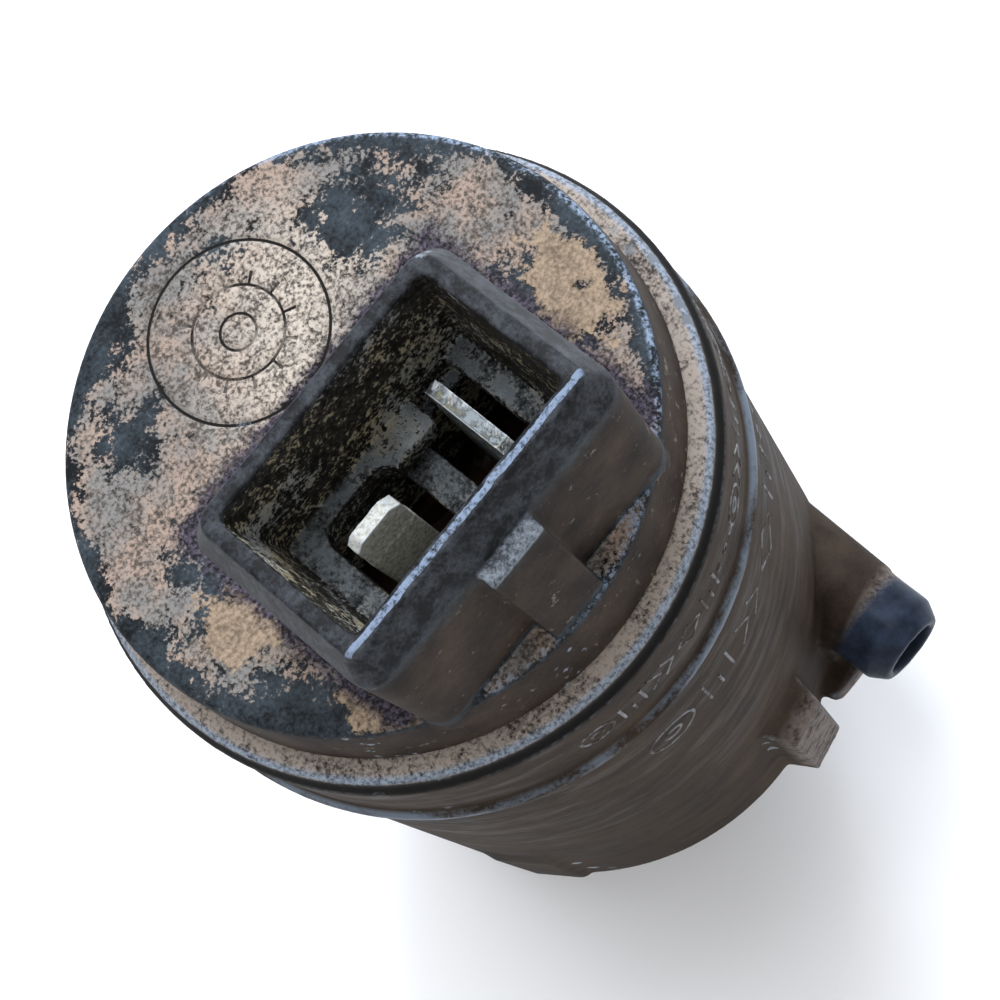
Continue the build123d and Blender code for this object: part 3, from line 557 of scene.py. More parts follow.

# %% [markdown]
# ## Walls and lip
# Dust doesn't settle on an upright wall. The walls are painted brown for their shade and the warm light
# they reflect. The lip is scuffed, and it is painted a cool grey for the sky light on its sloping face.


# %% Walls and lip
def walls_shaded_brown(tree, at, surface):
    """Upright walls painted brown for their shade and warm reflected light, with faint dust specks."""
    above = ramp(tree, at.z, plate_mm + 0.15, plate_mm + 0.5)
    neck = ramp(tree, at.z, plate_mm - 0.25, plate_mm - 0.6)
    lip_foot = rim_mm - LIP_HEIGHT
    brown_edge = ramp(tree, summed(tree, at.z, (at.broad, 1.5)), lip_foot + 0.9, lip_foot - 0.6)
    walls = all_of(tree, any_of(tree, above, neck), brown_edge, ramp(tree, at.upright, 0.75, 0.45))
    tone = ramp(tree, summed(tree, at.broad, (at.fine, 0.4)), 0.52, 0.92)
    # Painted shade and warm reflected light: this brown on the upright walls stands for light, not for a
    # film.
    warm_shade = two_tone(tree, tone, "#1f1814", "#3f342b")
    specks = ramp(tree, summed(tree, at.middle, (at.fine, 0.5)), 0.92, 0.98)
    return layer(tree, surface, walls, two_tone(tree, specks, warm_shade, "#6b635b"), 0.72, 0.02)


def lip_scuffed_and_sky_lit(tree, at, surface):
    """Scuffed lip and rim, painted a cool dark grey for the sky light on the sloping lip."""
    lip = ramp(tree, at.z, rim_mm - LIP_HEIGHT - 0.2, rim_mm - LIP_HEIGHT + 0.3)
    tone = ramp(tree, summed(tree, at.middle, (at.fine, 0.7)), 0.75, 1.05)
    # Painted light: the cool grey stands for sky light on the lip's sloping face, and the noise gives the
    # scuffs.
    return layer(tree, surface, lip, two_tone(tree, tone, "#17181a", "#3c3f44"), 0.5, 0.02)


print("lip starts at", round(rim_mm - LIP_HEIGHT, 2), "mm")

# %% [markdown]
# ## Inside the socket
# The socket is black and shaded, with yellowish grit that has fallen in and stuck to the walls, and a
# bluish slate tone painted on the floor for the light that still reaches it.


# %% Inside the socket
def socket_soiled_and_floor_lit(tree, at, surface):
    """Black walls, pale yellow grit, and a slate tone painted on the floor for the light reaching it."""
    inside = all_of(
        tree, ramp(tree, at.reach_x, MOUTH_HALF_LENGTH + 0.1, MOUTH_HALF_LENGTH - 0.05),
        ramp(tree, at.reach_y, MOUTH_HALF_WIDTH + 0.1, MOUTH_HALF_WIDTH - 0.05),
        ramp(tree, at.z, rim_mm - 0.1, rim_mm - 0.4),
    )
    tone = ramp(tree, summed(tree, at.fine, (at.middle, 0.5)), 0.62, 0.92)
    surface = layer(tree, surface, inside, two_tone(tree, tone, "#100f0e", "#46433c"), 0.6, 0.03)
    low_down = ramp(tree, at.z, rim_mm - 1.0, rim_mm - 5.0)
    settled = summed(tree, at.fine, (at.patch, 0.9), (at.middle, 0.5), (low_down, 0.06), (at.level, 0.03))
    grit = all_of(tree, inside, ramp(tree, settled, 1.26, 1.36))
    yellow = two_tone(tree, ramp(tree, at.broad, 0.42, 0.56), "#a5a7a4", "#b0a68a")
    surface = layer(tree, surface, grit, yellow, 0.9, 0.05)
    # Painted light: the slate tone on the socket floor stands for the light that reaches down to it.
    floor_face = all_of(tree, inside, at.level, ramp(tree, at.z, rim_mm - 5.5, rim_mm - 6.2))
    painted_floor_light = all_of(tree, floor_face, ramp(tree, summed(tree, at.middle, (at.fine, 1.1)), 0.80, 1.25))
    return layer(tree, surface, painted_floor_light, "#666c70", 0.75, 0.02)


print("socket floor at", round(plate_mm + SOCKET_FLOOR_HEIGHT, 2), "mm")

# %% [markdown]
# ## Worn edges and painted highlights
# Wear takes every layer off again, so it is laid last. Geometry's Pointiness finds the sharp edges. The
# front of the rim, the top of the latch and the plate's rolled edge are found by their places and get a
# cold, brighter grey-blue. On the rim and the rolled edge it is wear with a painted highlight, and on the
# latch top it is a painted reflection of the sky.

# %% Worn edges and painted highlights
# The side towards the light, where the rolled edge's painted sheen and its wear are strongest.
WEAR_AND_SHEEN_SIDE = (0.94, -0.34, 0)


def edges_worn_and_highlit(tree, at, surface):
    """Burnished edges, with a painted highlight over the wear along the front of the rim."""
    sharp = ramp(tree, at.edges, 0.54, 0.61)
    rubbed = ramp(tree, summed(tree, at.middle, (at.fine, 0.6)), 0.74, 0.92)
    surface = layer(tree, surface, all_of(tree, sharp, rubbed), "#7d868f", 0.42, 0.0)
    # Painted highlight: the bright line along the rim's front stands for light on its rounded edge, over
    # wear.
    front_side = ramp(tree, at.y, SOCKET_CENTRE_Y - 3.0, SOCKET_CENTRE_Y - 3.8)
    wavy = summed(tree, at.reach_y, (at.middle, 0.25))
    line = add(tree, "Math", {"operation": "COMPARE"}, i0=wavy, i1=4.25, i2=0.15)
    on_rim = all_of(tree, ramp(tree, at.z, rim_mm - 0.3, rim_mm - 0.15), front_side, line)
    rim_wear_and_highlight = all_of(tree, on_rim, ramp(tree, summed(tree, at.fine, (at.broad, 0.5)), 0.56, 0.80))
    return layer(tree, surface, rim_wear_and_highlight, "#76859a", 0.45, 0.0)


def latch_sky_reflection(tree, at, surface):
    """Latch top, painted bluish as a reflection of the sky."""
    latch_start = SOCKET_CENTRE_Y - SHROUD_HALF_WIDTH
    on_latch = all_of(
        tree, ramp(tree, at.reach_x, LATCH_HALF_WIDTH + 0.1, LATCH_HALF_WIDTH - 0.05),
        ramp(tree, at.y, latch_start, latch_start - 0.1),
        ramp(tree, at.z, rim_mm - 2.6, rim_mm - 2.4),
    )
    tone = ramp(tree, summed(tree, at.fine, (at.middle, 0.5)), 0.6, 0.95)
    # Painted reflection: the blue-grey on the latch's upward face stands for the sky that it reflects.
    return layer(tree, surface, on_latch, two_tone(tree, tone, "#3b3f45", "#8d96a0"), 0.42, 0.0)


def rolled_edge_worn_and_sheen(tree, at, surface):
    """Worn blue line on the plate's rolled edge, with a painted sheen that makes it strongest on the lit
    side.
    """
    rolled = all_of(
        tree, ramp(tree, at.out, cap_edge_mm - 0.9, cap_edge_mm - 0.5),
        ramp(tree, at.z, plate_mm + 0.5, plate_mm),
        ramp(tree, at.upright, 0.35, 0.6), ramp(tree, at.upright, 0.99, 0.93),
    )
    side = add(tree, "VectorMath", {"operation": "DOT_PRODUCT"}, i0=at.flat, i1=WEAR_AND_SHEEN_SIDE).outputs["Value"]
    broken = ramp(tree, summed(tree, at.fine, (at.broad, 0.7), (at.middle, 0.3)), 0.95, 1.15)
    # Painted sheen: the line grows stronger towards one side, as light falls there.
    worn = all_of(tree, rolled, ramp(tree, side, -4, 6), broken)
    return layer(tree, surface, worn, "#8595ab", 0.42, 0.0)


print("most wear towards", WEAR_AND_SHEEN_SIDE)

# %% [markdown]
# ## The cap's nylon
# Glass-filled nylon comes out of the mould black and slightly rough, because the fibres near the skin
# break its gloss. The layers above are laid on it in the order in which real dirt and wear came, and the
# painted light and shade go among them.

# %% The cap's finish
CAP_LAYERS = (
    dusted_and_sheened, muddied, darkened_round_shroud, mark_shade_and_dirt, walls_shaded_brown, lip_scuffed_and_sky_lit,
    socket_soiled_and_floor_lit, edges_worn_and_highlit, latch_sky_reflection, rolled_edge_worn_and_sheen,
)


def cap_nylon():
    """Moulded black nylon, glass filled: dull blue-black, with dust, mud, wear and painted light and shade.
    """
    name = "moulded glass-filled nylon"
    material, tree, shader, place = new_material(name, "#30353a", 0.55, ior=1.53, gloss=0.1)
    at = fields(tree, place, 3.0, 3.0)
    at.patch = add(tree, "TexNoise", None, Vector=at.mm, Scale=1 / 4.2, Detail=9.0, Roughness=0.68)
    at.level = ramp(tree, at.upright, 0.55, 0.85)
    at.plate = all_of(tree, at.level, ramp(tree, at.z, plate_mm + 0.45, plate_mm + 0.2))
    at.reach_x = add(tree, "Math", {"operation": "ABSOLUTE"}, i0=at.x)
    from_middle = add(tree, "Math", {"operation": "SUBTRACT"}, i0=at.y, i1=SOCKET_CENTRE_Y)
    at.reach_y = add(tree, "Math", {"operation": "ABSOLUTE"}, i0=from_middle)
    tone = ramp(tree, summed(tree, at.broad, (at.fine, 0.8), (at.middle, 0.5)), 0.95, 1.35)
    leathery = add(tree, "Math", {"operation": "MULTIPLY"}, i0=at.fine, i1=0.04)
    surface = [two_tone(tree, tone, "#101214", "#3d464d"), ramp(tree, at.fine, -0.9, 1.3), leathery]
    for lay in CAP_LAYERS:
        surface = lay(tree, at, surface)
    finished(tree, shader, surface)
    return material


stands_for(cap, "end_cap", "pump", cap_nylon())

# %% [markdown]
# ## The pump casing
# The casing is polypropylene, moulded in black with its spigot and ribs in one piece. It carries a brown
# film of the same colour as the cap's painted walls, drawn into level streaks by wiping and by the rubber
# grommet that held it. Dust lies only on the ledge, and the spigot is clean because a hose covered it.

# %% The casing's places, in millimetres
ledge_mm = ledge_z / MM
RIDGE_DROP = 7.6
LEDGE_OUTER = 15.65
SPIGOT_CLEAN_Y = -15.6
KEY_RIB_ANGLE = -79
BARREL_FOOT = 16.3
OUTLET_PLACE = (10.8, 6.9)
SPIGOT_RADIUS = 2.9
print("ledge at", round(ledge_mm, 2), "mm")


# %% Film, ledge, crests and spigot
def filmed(tree, at):
    """Brown film wiped into level streaks, greyer where it is rubbed high on the barrel."""
    wiped = summed(tree, at.broad, (at.streaks, 0.6), (at.fine, 0.25), (at.middle, 0.2))
    tone = ramp(tree, wiped, 0.80, 1.35)
    height = add(tree, "Math", {"operation": "MULTIPLY"}, i0=at.fine, i1=0.035)
    surface = [two_tone(tree, tone, "#221b16", "#463b31"), ramp(tree, at.broad, -1.2, 1.2), height]
    rubbed = all_of(tree, blotches(tree, at.drawn_out, 1.4, 0.48, 0.75), ramp(tree, at.z, 8, 22))
    return layer(tree, surface, rubbed, "#45403b", 0.5, 0.01)


def ledge_dust_highlight_and_shade(tree, at, surface):
    """Pinkish dust on the ledge, a painted bluish highlight outside it, painted shade and grime under its
    edge.
    """
    on_top = ramp(tree, at.z, ledge_mm - 0.7, ledge_mm - 0.35)
    on_ledge = all_of(tree, on_top, ramp(tree, at.upright, 0.15, 0.5))
    speck = ramp(tree, summed(tree, at.fine, (at.middle, 0.5), (at.broad, 0.5)), 0.82, 1.08)
    surface = layer(tree, surface, on_ledge, two_tone(tree, speck, "#3a3633", "#9f948a"), 0.9, 0.03)
    # Painted highlight: the bluish line on the ledge's rounded outer edge stands for the sky's reflection.
    outer = all_of(tree, on_ledge, ramp(tree, at.out, LEDGE_OUTER - 0.50, LEDGE_OUTER - 0.20))
    painted_sky_highlight = two_tone(tree, ramp(tree, at.fine, 0.32, 0.6), "#343c48", "#93a0af")
    surface = layer(tree, surface, outer, painted_sky_highlight, 0.45, 0.01)
    # Painted shade, with some grime: the black in the groove under the ledge's edge.
    below = ramp(tree, at.z, ledge_mm - 0.55, ledge_mm - 0.75)
    under = all_of(tree, below, ramp(tree, at.z, ledge_mm - 1.5, ledge_mm - 1.25))
    return layer(tree, surface, under, "#121110", 0.6, 0.0)


def worn_crests_and_ridge_highlight(tree, at, surface):
    """Worn crests, a painted highlight along the ridge and the key rib's polished face."""
    crest = all_of(tree, ramp(tree, at.edges, 0.515, 0.56), ramp(tree, at.streaks, 0.42, 0.55))
    surface = layer(tree, surface, crest, "#6f757c", 0.4, 0.0)
    # Painted highlight: the pale bluish line along the ridge.
    ridge_mm = ledge_mm - RIDGE_DROP
    ridge_highlight = all_of(
        tree, ramp(tree, at.z, ridge_mm - 0.42, ridge_mm - 0.2),
        ramp(tree, at.z, ridge_mm + 0.42, ridge_mm + 0.2),
        ramp(tree, summed(tree, at.streaks, (at.fine, 0.3)), 0.55, 0.75),
    )
    surface = layer(tree, surface, ridge_highlight, "#66707c", 0.4, 0.0)
    key = math.radians(KEY_RIB_ANGLE)
    outward = (math.cos(key), math.sin(key), 0)
    along = add(tree, "VectorMath", {"operation": "DOT_PRODUCT"}, i0=at.flat, i1=outward)
    proud = ramp(tree, along.outputs["Value"], BARREL_FOOT + 0.5, BARREL_FOOT + 1.2)
    polished = all_of(tree, proud, ramp(tree, summed(tree, at.middle, (at.fine, 0.6)), 0.6, 0.9))
    return layer(tree, surface, polished, "#6b625d", 0.55, 0.0)


def spigot_clean(tree, at, surface):
    """Clean dark blue plastic where the hose sat."""
    reach = SPIGOT_RADIUS + 0.1
    spigot_x = add(tree, "Math", {"operation": "COMPARE"}, i0=at.x, i1=OUTLET_PLACE[0], i2=reach)
    spigot_z = add(tree, "Math", {"operation": "COMPARE"}, i0=at.z, i1=OUTLET_PLACE[1], i2=reach)
    spigot_y = ramp(tree, summed(tree, at.y, (at.fine, 0.6)), SPIGOT_CLEAN_Y + 0.6, SPIGOT_CLEAN_Y)
    bare = two_tone(tree, blotches(tree, at.mm, 1.2, 0.3, 0.7), "#171c25", "#2e3848")
    return layer(tree, surface, all_of(tree, spigot_x, spigot_y, spigot_z), bare, 0.38, 0.01)


print("spigot clean beyond", SPIGOT_CLEAN_Y, "mm")


# %% The casing's finish
def casing_polypropylene():
    """Moulded polypropylene: dark and waxy, under a brown film with streaks and scuffs."""
    name = "moulded polypropylene"
    material, tree, shader, place = new_material(name, "#37312c", 0.5, ior=1.49, gloss=0.08)
    at = fields(tree, place, 5.0, 4.0)
    at.drawn_out = add(tree, "VectorMath", {"operation": "MULTIPLY"}, i0=at.mm, i1=(0.3, 0.3, 1.1))
    at.streaks = add(tree, "TexNoise", None, Vector=at.drawn_out, Scale=1 / 1.3, Detail=5.0, Roughness=0.55)
    surface = filmed(tree, at)
    for lay in (ledge_dust_highlight_and_shade, worn_crests_and_ridge_highlight, spigot_clean):
        surface = lay(tree, at, surface)
    finished(tree, shader, surface)
    return material


casing_finish = casing_polypropylene()
stands_for(casing, "pump_casing", "pump", casing_finish)

# %% [markdown]
# ## Raised marks
# Mouldings like this carry raised marks round the band and low on the barrel. The ones here are plain
# tooling signs: rings, dots, bars, diamonds and chevrons, with no lettering. Each is a thin round bead
# bent round the barrel and partly sunk in it, so it catches light the way a moulded line does. A ray from
# outside finds the barrel's true surface, whatever its taper.

# %% Raised mark beads
BEAD = 0.1  # radius of a bead, in mm
BEAD_SINK = 0.35  # share of that radius below the surface
RAY_START = 30
BARREL_RADIUS = 16.0
# Each row: height and size in mm, then first angle, last angle and step in degrees.
BAND_ROW = (38.0, 1.9, -104, -8, 7.6)
LOWER_ROW = (28.6, 3.0, -96, -24, 13.0)


def sign(kind, size):
    """Lines of one tooling sign, as lists of (across, up) in mm. Closed lines end where they start."""
    half = size / 2
    circle = [(math.cos(turn * math.tau / 20), math.sin(turn * math.tau / 20)) for turn in range(21)]
    if kind == "ring":
        return [[(reach * c, reach * s) for c, s in circle] for reach in (half, half * 0.35)]
    if kind == "diamond":
        return [[(half, 0), (0, half), (-half, 0), (0, -half), (half, 0)]]
    if kind == "chevrons":
        return [[(shift - half * 0.5, half), (shift + half * 0.3, 0), (shift - half * 0.5, -half)]
                for shift in (-half * 0.5, half * 0.5)]
    if kind == "bars":
        bars = ((-half * 0.7, half), (0, 0), (half * 0.7, half))
        return [[(shift, -half), (shift, reach)] for shift, reach in bars]
    return [[(shift + half * 0.22 * c, half * 0.22 * s) for c, s in circle] for shift in (-half, 0, half)]


def on_barrel(angle, height):
    """Point in metres on the casing's surface at an angle and a height in mm."""
    way = Vector((math.cos(angle), math.sin(angle), 0))
    start = way * RAY_START * MM + Vector((0, 0, height * MM))
    _, point, _, _ = casing.ray_cast(start, -way)
    return point - way * BEAD * MM * BEAD_SINK


def raised_marks():
    """Two rows of signs as one piece of round beads."""
    data = bpy.data.curves.new("raised_marks", "CURVE")
    data.dimensions = "3D"
    data.bevel_depth = BEAD * MM
    data.bevel_resolution = 2
    data.use_fill_caps = True
    kinds = ["ring", "bars", "chevrons", "diamond", "bars", "dots", "ring", "chevrons", "bars", "diamond"]
    for height, size, first, last, step in (BAND_ROW, LOWER_ROW):
        for place in range(int((last - first) / step) + 1):
            centre = math.radians(first + place * step)
            for line in sign(kinds[place % len(kinds)], size):
                spline = data.splines.new("POLY")
                spline.points.add(len(line) - 1)
                for point, (across, up_mm) in zip(spline.points, line):
                    point.co = (*on_barrel(centre + across / BARREL_RADIUS, height + up_mm), 1)
    shape = bpy.data.objects.new("raised_marks_shape", data)
    scene.collection.objects.link(shape)
    mesh = bpy.data.meshes.new_from_object(shape.evaluated_get(bpy.context.evaluated_depsgraph_get()))
    bpy.data.objects.remove(shape)
    piece = bpy.data.objects.new("raised_marks", mesh)
    scene.collection.objects.link(piece)
    for face in mesh.polygons:
        face.use_smooth = True
    return piece


def scuffed_beads():
    """The casing's plastic where it stands proud: a brown film, rubbed pale in scattered patches."""
    material, tree, shader, place = new_material("scuffed polypropylene", "#5b554e", 0.5, ior=1.49, gloss=0.1)
    mm = add(tree, "VectorMath", {"operation": "SCALE"}, i0=place, Scale=1 / MM)
    fine = add(tree, "TexNoise", None, Vector=mm, Scale=1 / 0.4, Detail=4.0, Roughness=0.7)
    film = two_tone(tree, blotches(tree, mm, 2.0, 0.35, 0.65), "#2b2520", "#4a423b")
    height = add(tree, "Math", {"operation": "MULTIPLY"}, i0=fine, i1=0.03)
    surface = [film, ramp(tree, fine, -0.4, 1.3), height]
    rubbed = all_of(tree, blotches(tree, mm, 1.1, 0.44, 0.56), ramp(tree, fine, 0.25, 0.55))
    surface = layer(tree, surface, rubbed, "#808184", 0.45, 0.0)
    finished(tree, shader, surface)
    return material


marks = raised_marks()
marks.data.materials.append(scuffed_beads())
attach(marks, "pump")
print("raised marks:", len(marks.data.polygons), "faces")


# %% [markdown]
# ## The two tabs
# The tabs are stamped from brass strip and tinned. Stamping rolls their edges over, so each copy gets a
# fine skin and a little smoothing. Damp has been in the socket: grey-green crust has grown on the faces
# and lifts along the tip, and the clean tin between the crust is bright. The mesh is shrunk a little
# and lifted again where the crust is, so that the crust has some real height.

# %% Tab shapes
tip_mm = tip_z / MM
TAB_SKIN = 0.10 * MM
CRUST_MM = {"wide_terminal": 0.02, "narrow_terminal": 0.07}
ROUNDS = {"wide_terminal": 9, "narrow_terminal": 3}
CRUST_START_MM = plate_mm + SOCKET_FLOOR_HEIGHT
BLADE_LENGTH = 2.4
LUMP_SIZE = 0.45 * MM
ETCHED_MM = 0.12


def crusted(source, name):
    """Tab with rolled edges and a rough crust on its upper end."""
    height_mm = CRUST_MM[source]
    piece = moulded(source, name, TAB_SKIN, ROUNDS[source])
    mesh = piece.data
    for vertex in mesh.vertices:
        up_blade = (vertex.co.z / MM - CRUST_START_MM) / BLADE_LENGTH
        if up_blade > 0:
            lump = noise.fractal(vertex.co / LUMP_SIZE, 0.8, 2.0, 3)
            lift = max(0.0, lump + 0.15) * height_mm * min(1.0, up_blade + 0.3)
            vertex.co -= vertex.normal * (ETCHED_MM - lift) * MM * 0.5
    mesh.update()
    return piece


def tinned_brass(name, crust_share, clean, dull, pale):
    """Tinned brass strip, rolled and stamped: bright, with dull grey and beige corrosion."""
    material, tree, shader, place = new_material(name, clean, 0.25, metallic=1.0)
    mm = add(tree, "VectorMath", {"operation": "SCALE"}, i0=place, Scale=1 / MM)
    z = add(tree, "SeparateXYZ", None, Vector=mm).outputs[2]
    fine = add(tree, "TexNoise", None, Vector=mm, Scale=1 / 0.22, Detail=4.0, Roughness=0.7)
    drawn_out = add(tree, "VectorMath", {"operation": "MULTIPLY"}, i0=mm, i1=(1, 1, 0.12))
    rolled = add(tree, "TexNoise", None, Vector=drawn_out, Scale=1 / 0.18, Detail=3.0)
    tin = two_tone(tree, ramp(tree, rolled, 0.3, 0.7), "#5f6669", clean)
    height = add(tree, "Math", {"operation": "MULTIPLY"}, i0=rolled, i1=0.01)
    surface = [tin, ramp(tree, rolled, -0.6, 1.2), height]
    crust = blotches(tree, mm, 0.55, 0.60 - crust_share, 0.74 - crust_share, detail=5.0)
    grains = two_tone(tree, ramp(tree, fine, 0.35, 0.65), dull, pale)
    surface = layer(tree, surface, crust, grains, 0.85, 0.05)
    tip = ramp(tree, z, tip_mm - 1.3, tip_mm - 0.5)
    edge = ramp(tree, add(tree, "NewGeometry").outputs["Pointiness"], 0.505, 0.545)
    white = all_of(tree, tip, any_of(tree, edge, ramp(tree, fine, 0.60, 0.68)), ramp(tree, fine, 0.25, 0.45))
    surface = layer(tree, surface, white, "#d3dade", 0.7, 0.06)
    bare = ramp(tree, any_of(tree, crust, white), 1.0, 0.0)
    tree.links.new(bare.outputs[0], shader.inputs["Metallic"])
    finished(tree, shader, surface)
    return material


wide_tab = crusted("wide_terminal", "wide_tab_tinned")
bright_tin = tinned_brass("tinned brass, bright", 0.10, "#9aa2a6", "#67634f", "#a39f88")
stands_for(wide_tab, "wide_terminal", "pump", bright_tin)
narrow_tab = crusted("narrow_terminal", "narrow_tab_tinned")
dull_tin = tinned_brass("tinned brass, corroded", 0.40, "#aab0b2", "#a9a99f", "#f3f4ee")
stands_for(narrow_tab, "narrow_terminal", "pump", dull_tin)

# %% [markdown]
# ## The pump's underside
# The inlet cover and its strainer are what a person sees on turning the pump over. Both are mouldings
# and get the same kind of skin as the casing. Both have stood in washer fluid, which leaves a pale
# bluish tide line round the nipple.

# %% Cover and strainer
COVER_SKIN = 0.25 * MM
STRAINER_SKIN = 0.12 * MM
COVER_TIDE = 5
STRAINER_TIDE = 1
cover = moulded("inlet_cover", "inlet_cover_moulding", COVER_SKIN, 2)
strainer = moulded("inlet_strainer", "inlet_strainer_moulding", STRAINER_SKIN, 2)


def wetted_plastic(name, dark, light, ior, tide_mm):
    """Moulded plastic that has stood in washer fluid: smooth, with a chalky tide line."""
    material, tree, shader, place = new_material(name, dark, 0.4, ior=ior, gloss=0.35)
    mm = add(tree, "VectorMath", {"operation": "SCALE"}, i0=place, Scale=1 / MM)
    z = add(tree, "SeparateXYZ", None, Vector=mm).outputs[2]
    fine = add(tree, "TexNoise", None, Vector=mm, Scale=1 / 0.4, Detail=4.0, Roughness=0.7)
    base = two_tone(tree, blotches(tree, mm, 4.0, 0.35, 0.7), dark, light)
    height = add(tree, "Math", {"operation": "MULTIPLY"}, i0=fine, i1=0.03)
    surface = [base, ramp(tree, fine, -0.5, 1.5), height]
    level = summed(tree, z, (fine, 1.4))
    above = ramp(tree, level, tide_mm - 0.8, tide_mm)
    tide = all_of(tree, above, ramp(tree, level, tide_mm + 0.9, tide_mm + 0.2))
    chalk = all_of(tree, tide, blotches(tree, mm, 1.5, 0.4, 0.55))
    surface = layer(tree, surface, chalk, "#9aa4a8", 0.85, 0.03)
    worn = ramp(tree, add(tree, "NewGeometry").outputs["Pointiness"], 0.53, 0.6)
    scuffs = all_of(tree, worn, blotches(tree, mm, 1.5, 0.4, 0.6))
    surface = layer(tree, surface, scuffs, "#8b8d8e", 0.45, 0.0)
    finished(tree, shader, surface)
    return material


nipple_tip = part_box("inlet_cover")[0].z / MM
stands_for(
    cover, "inlet_cover", "pump",
    wetted_plastic("moulded acetal copolymer, black", "#24211e", "#3d3935", 1.48, nipple_tip + COVER_TIDE),
)
stands_for(
    strainer, "inlet_strainer", "pump",
    wetted_plastic("moulded natural nylon", "#c9c6b4", "#dedccd", 1.53, nipple_tip + STRAINER_TIDE),
)


# %% [markdown]
# ## The motor inside
# Nothing below shows on the closed pump, except the parts that can be seen through the socket's
# windows. They still get their true finish, so that the model can be opened, cut or exploded. The CAD
# parts are used as they are, and only their material slots are filled. One function covers metals, one
# covers moulded and pressed stuff, and one covers wound wire. The wire of such a motor is about 0.25 mm
# thick, and it is drawn at 0.45 mm so that its rows show. Grains of sinter and pressed powder are drawn
# coarser than they are for the same reason.


# %% Finishes for the inner parts
WAVE_PERIOD = 0.314  # a wave texture of scale 1 repeats after this length


def metal(name, light, dark, roughness, grain_mm, stretch, stain):
    """Bare or plated metal with its working marks drawn out along stretch, and stains."""
    material, tree, shader, place = new_material(name, light, roughness, metallic=1.0)
    mm = add(tree, "VectorMath", {"operation": "SCALE"}, i0=place, Scale=1 / MM)
    along = add(tree, "VectorMath", {"operation": "MULTIPLY"}, i0=mm, i1=stretch)
    grain = add(tree, "TexNoise", None, Vector=along, Scale=1 / grain_mm, Detail=4.0, Roughness=0.6)
    tone = two_tone(tree, ramp(tree, grain, 0.3, 0.7), dark, light)
    rough = ramp(tree, grain, -roughness * 2, 2.2)
    surface = [tone, rough, add(tree, "Math", {"operation": "MULTIPLY"}, i0=grain, i1=0.02)]
    surface = layer(tree, surface, blotches(tree, mm, 2.5, 0.56, 0.7), stain, 0.6, 0.01)
    finished(tree, shader, surface)
    return material


def pressed(name, light, dark, roughness, grain_mm, height_mm, ior=1.5):
    """Moulded, pressed or fired stuff with an even grain and a little dust."""
    material, tree, shader, place = new_material(name, light, roughness, ior=ior)
    mm = add(tree, "VectorMath", {"operation": "SCALE"}, i0=place, Scale=1 / MM)
    grain = add(tree, "TexNoise", None, Vector=mm, Scale=1 / grain_mm, Detail=5.0, Roughness=0.65)
    tone = two_tone(tree, ramp(tree, grain, 0.35, 0.65), dark, light)
    rough = ramp(tree, grain, -roughness * 1.5, 1.8)
    surface = [tone, rough, add(tree, "Math", {"operation": "MULTIPLY"}, i0=grain, i1=height_mm)]
    surface = layer(tree, surface, blotches(tree, mm, 1.8, 0.60, 0.72), "#8a857c", 0.9, height_mm)
    finished(tree, shader, surface)
    return material


def wound_wire(name, light, dark, wire_mm):
    """Enamelled wire laid in rows: round ridges one wire apart, drawn over the coil's solid."""
    material, tree, shader, place = new_material(name, light, 0.3, metallic=1.0)
    mm = add(tree, "VectorMath", {"operation": "SCALE"}, i0=place, Scale=1 / MM)
    settings = {"wave_type": "BANDS", "bands_direction": "Z", "wave_profile": "SIN"}
    rows = add(tree, "TexWave", settings, Vector=mm, Scale=WAVE_PERIOD / wire_mm, Distortion=0.6, Detail=1.0)
    tone = two_tone(tree, rows.outputs["Fac"], dark, light)
    rough = ramp(tree, rows.outputs["Fac"], 2.6, -0.8)
    ridges = add(tree, "Math", {"operation": "MULTIPLY"}, i0=rows.outputs["Fac"], i1=wire_mm / 2)
    surface = [tone, rough, ridges]
    surface = layer(tree, surface, blotches(tree, mm, 3.0, 0.55, 0.7), "#5a2c16", 0.4, 0.0)
    finished(tree, shader, surface)
    return material


print("finishes for metal, pressed stuff and wire are ready")

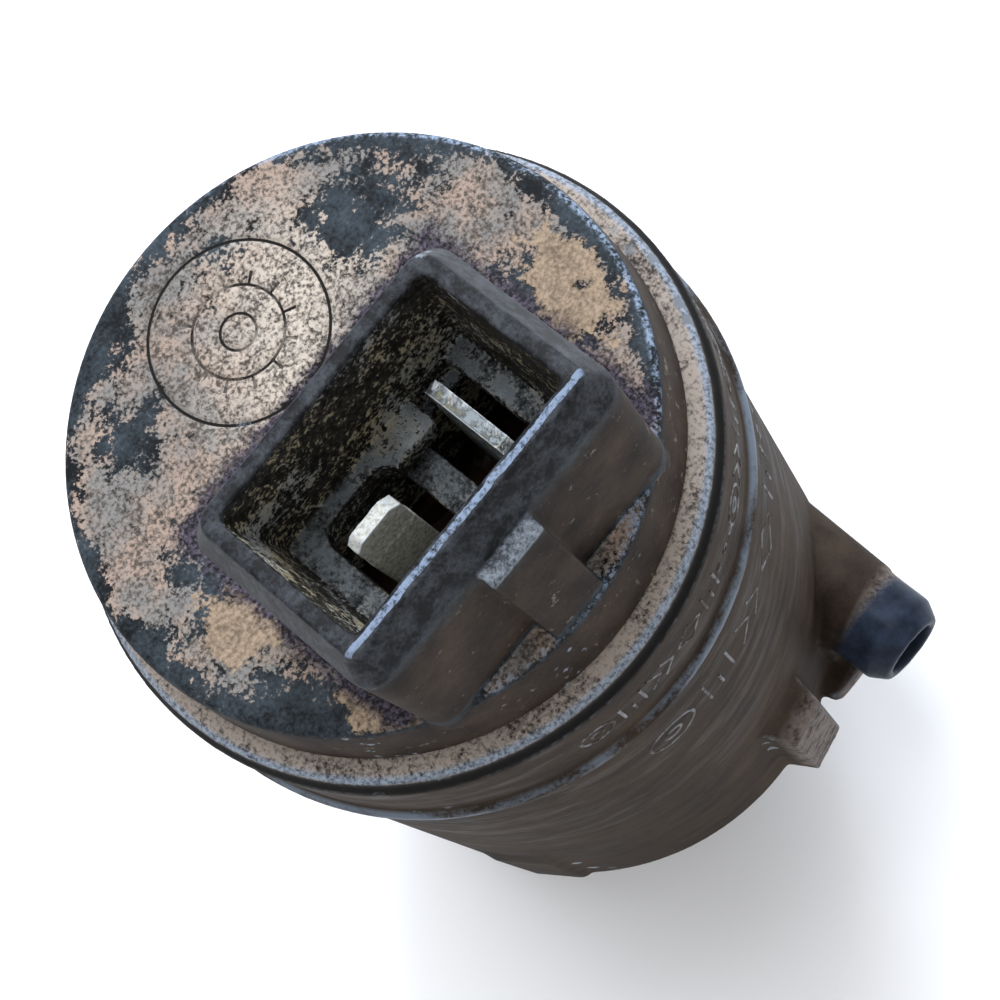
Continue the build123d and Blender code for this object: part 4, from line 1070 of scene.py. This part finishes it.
# %% Fill the inner parts
EVEN = (1, 1, 1)
DRAWN = (1, 1, 0.1)
TURNED = (0.2, 0.2, 3)
inner_finish = {
    "leaf_bronze": metal("phosphor bronze, rolled", "#c79a63", "#8a6236", 0.3, 0.2, (0.1, 1, 1), "#5d4a2c"),
    "bush_bronze": metal("bronze, sintered", "#a77c45", "#5d4222", 0.5, 0.12, EVEN, "#3c2c18"),
    "can_steel": metal("steel, drawn and zinc plated", "#a9adb0", "#7b8084", 0.3, 0.25, DRAWN, "#7a6a58"),
    "clip_steel": metal("spring steel, blued", "#4d5666", "#2b313d", 0.35, 0.2, DRAWN, "#4e3a2b"),
    "retainer_steel": metal("steel, stamped", "#9da1a3", "#74787a", 0.35, 0.3, EVEN, "#6b5440"),
    "shaft_steel": metal("steel, ground", "#c3c6c9", "#8f9498", 0.15, 0.15, TURNED, "#8b8a86"),
    "core_steel": metal("silicon steel, stacked sheets", "#74787b", "#3f4346", 0.4, 0.35, TURNED, "#5b4634"),
    "commutator_copper": metal("copper, turned", "#c07a52", "#83492b", 0.25, 0.15, TURNED, "#3a2c26"),
    "brush_plate_resin": pressed("phenolic resin, pressed", "#5c3a22", "#3b2415", 0.45, 0.5, 0.03, 1.6),
    "commutator_resin": pressed("phenolic resin, moulded", "#4a2f1d", "#2f1d12", 0.4, 0.4, 0.02, 1.6),
    "brush_carbon": pressed("carbon, pressed", "#2c2c2e", "#151516", 0.5, 0.15, 0.03, 1.8),
    "magnet_ferrite": pressed("ferrite, sintered", "#3e3f42", "#222326", 0.55, 0.2, 0.03, 2.2),
    "seal_rubber": pressed("nitrile rubber, moulded", "#232323", "#121212", 0.6, 0.3, 0.02, 1.52),
    "gasket_rubber": pressed("nitrile rubber, moulded ring", "#2a2a2a", "#161616", 0.6, 0.3, 0.02, 1.52),
    "washer_fibre": pressed("vulcanised fibre, punched", "#9b7048", "#6e4a2c", 0.7, 0.25, 0.04, 1.5),
    "impeller_plastic": pressed("acetal, moulded white", "#e6e5dc", "#cfcdc2", 0.3, 0.6, 0.01, 1.48),
    "copper_wire": wound_wire("copper wire, enamelled", "#b5653a", "#54260f", 0.45),
}
filled = 0
for row in frame["record"]["subparts"]:
    if row["material_slot"] in inner_finish:
        mesh = frame["nodes"][row["node"]].data
        mesh.materials.clear()
        mesh.materials.append(inner_finish[row["material_slot"]])
        filled += 1
print(filled, "inner parts finished")
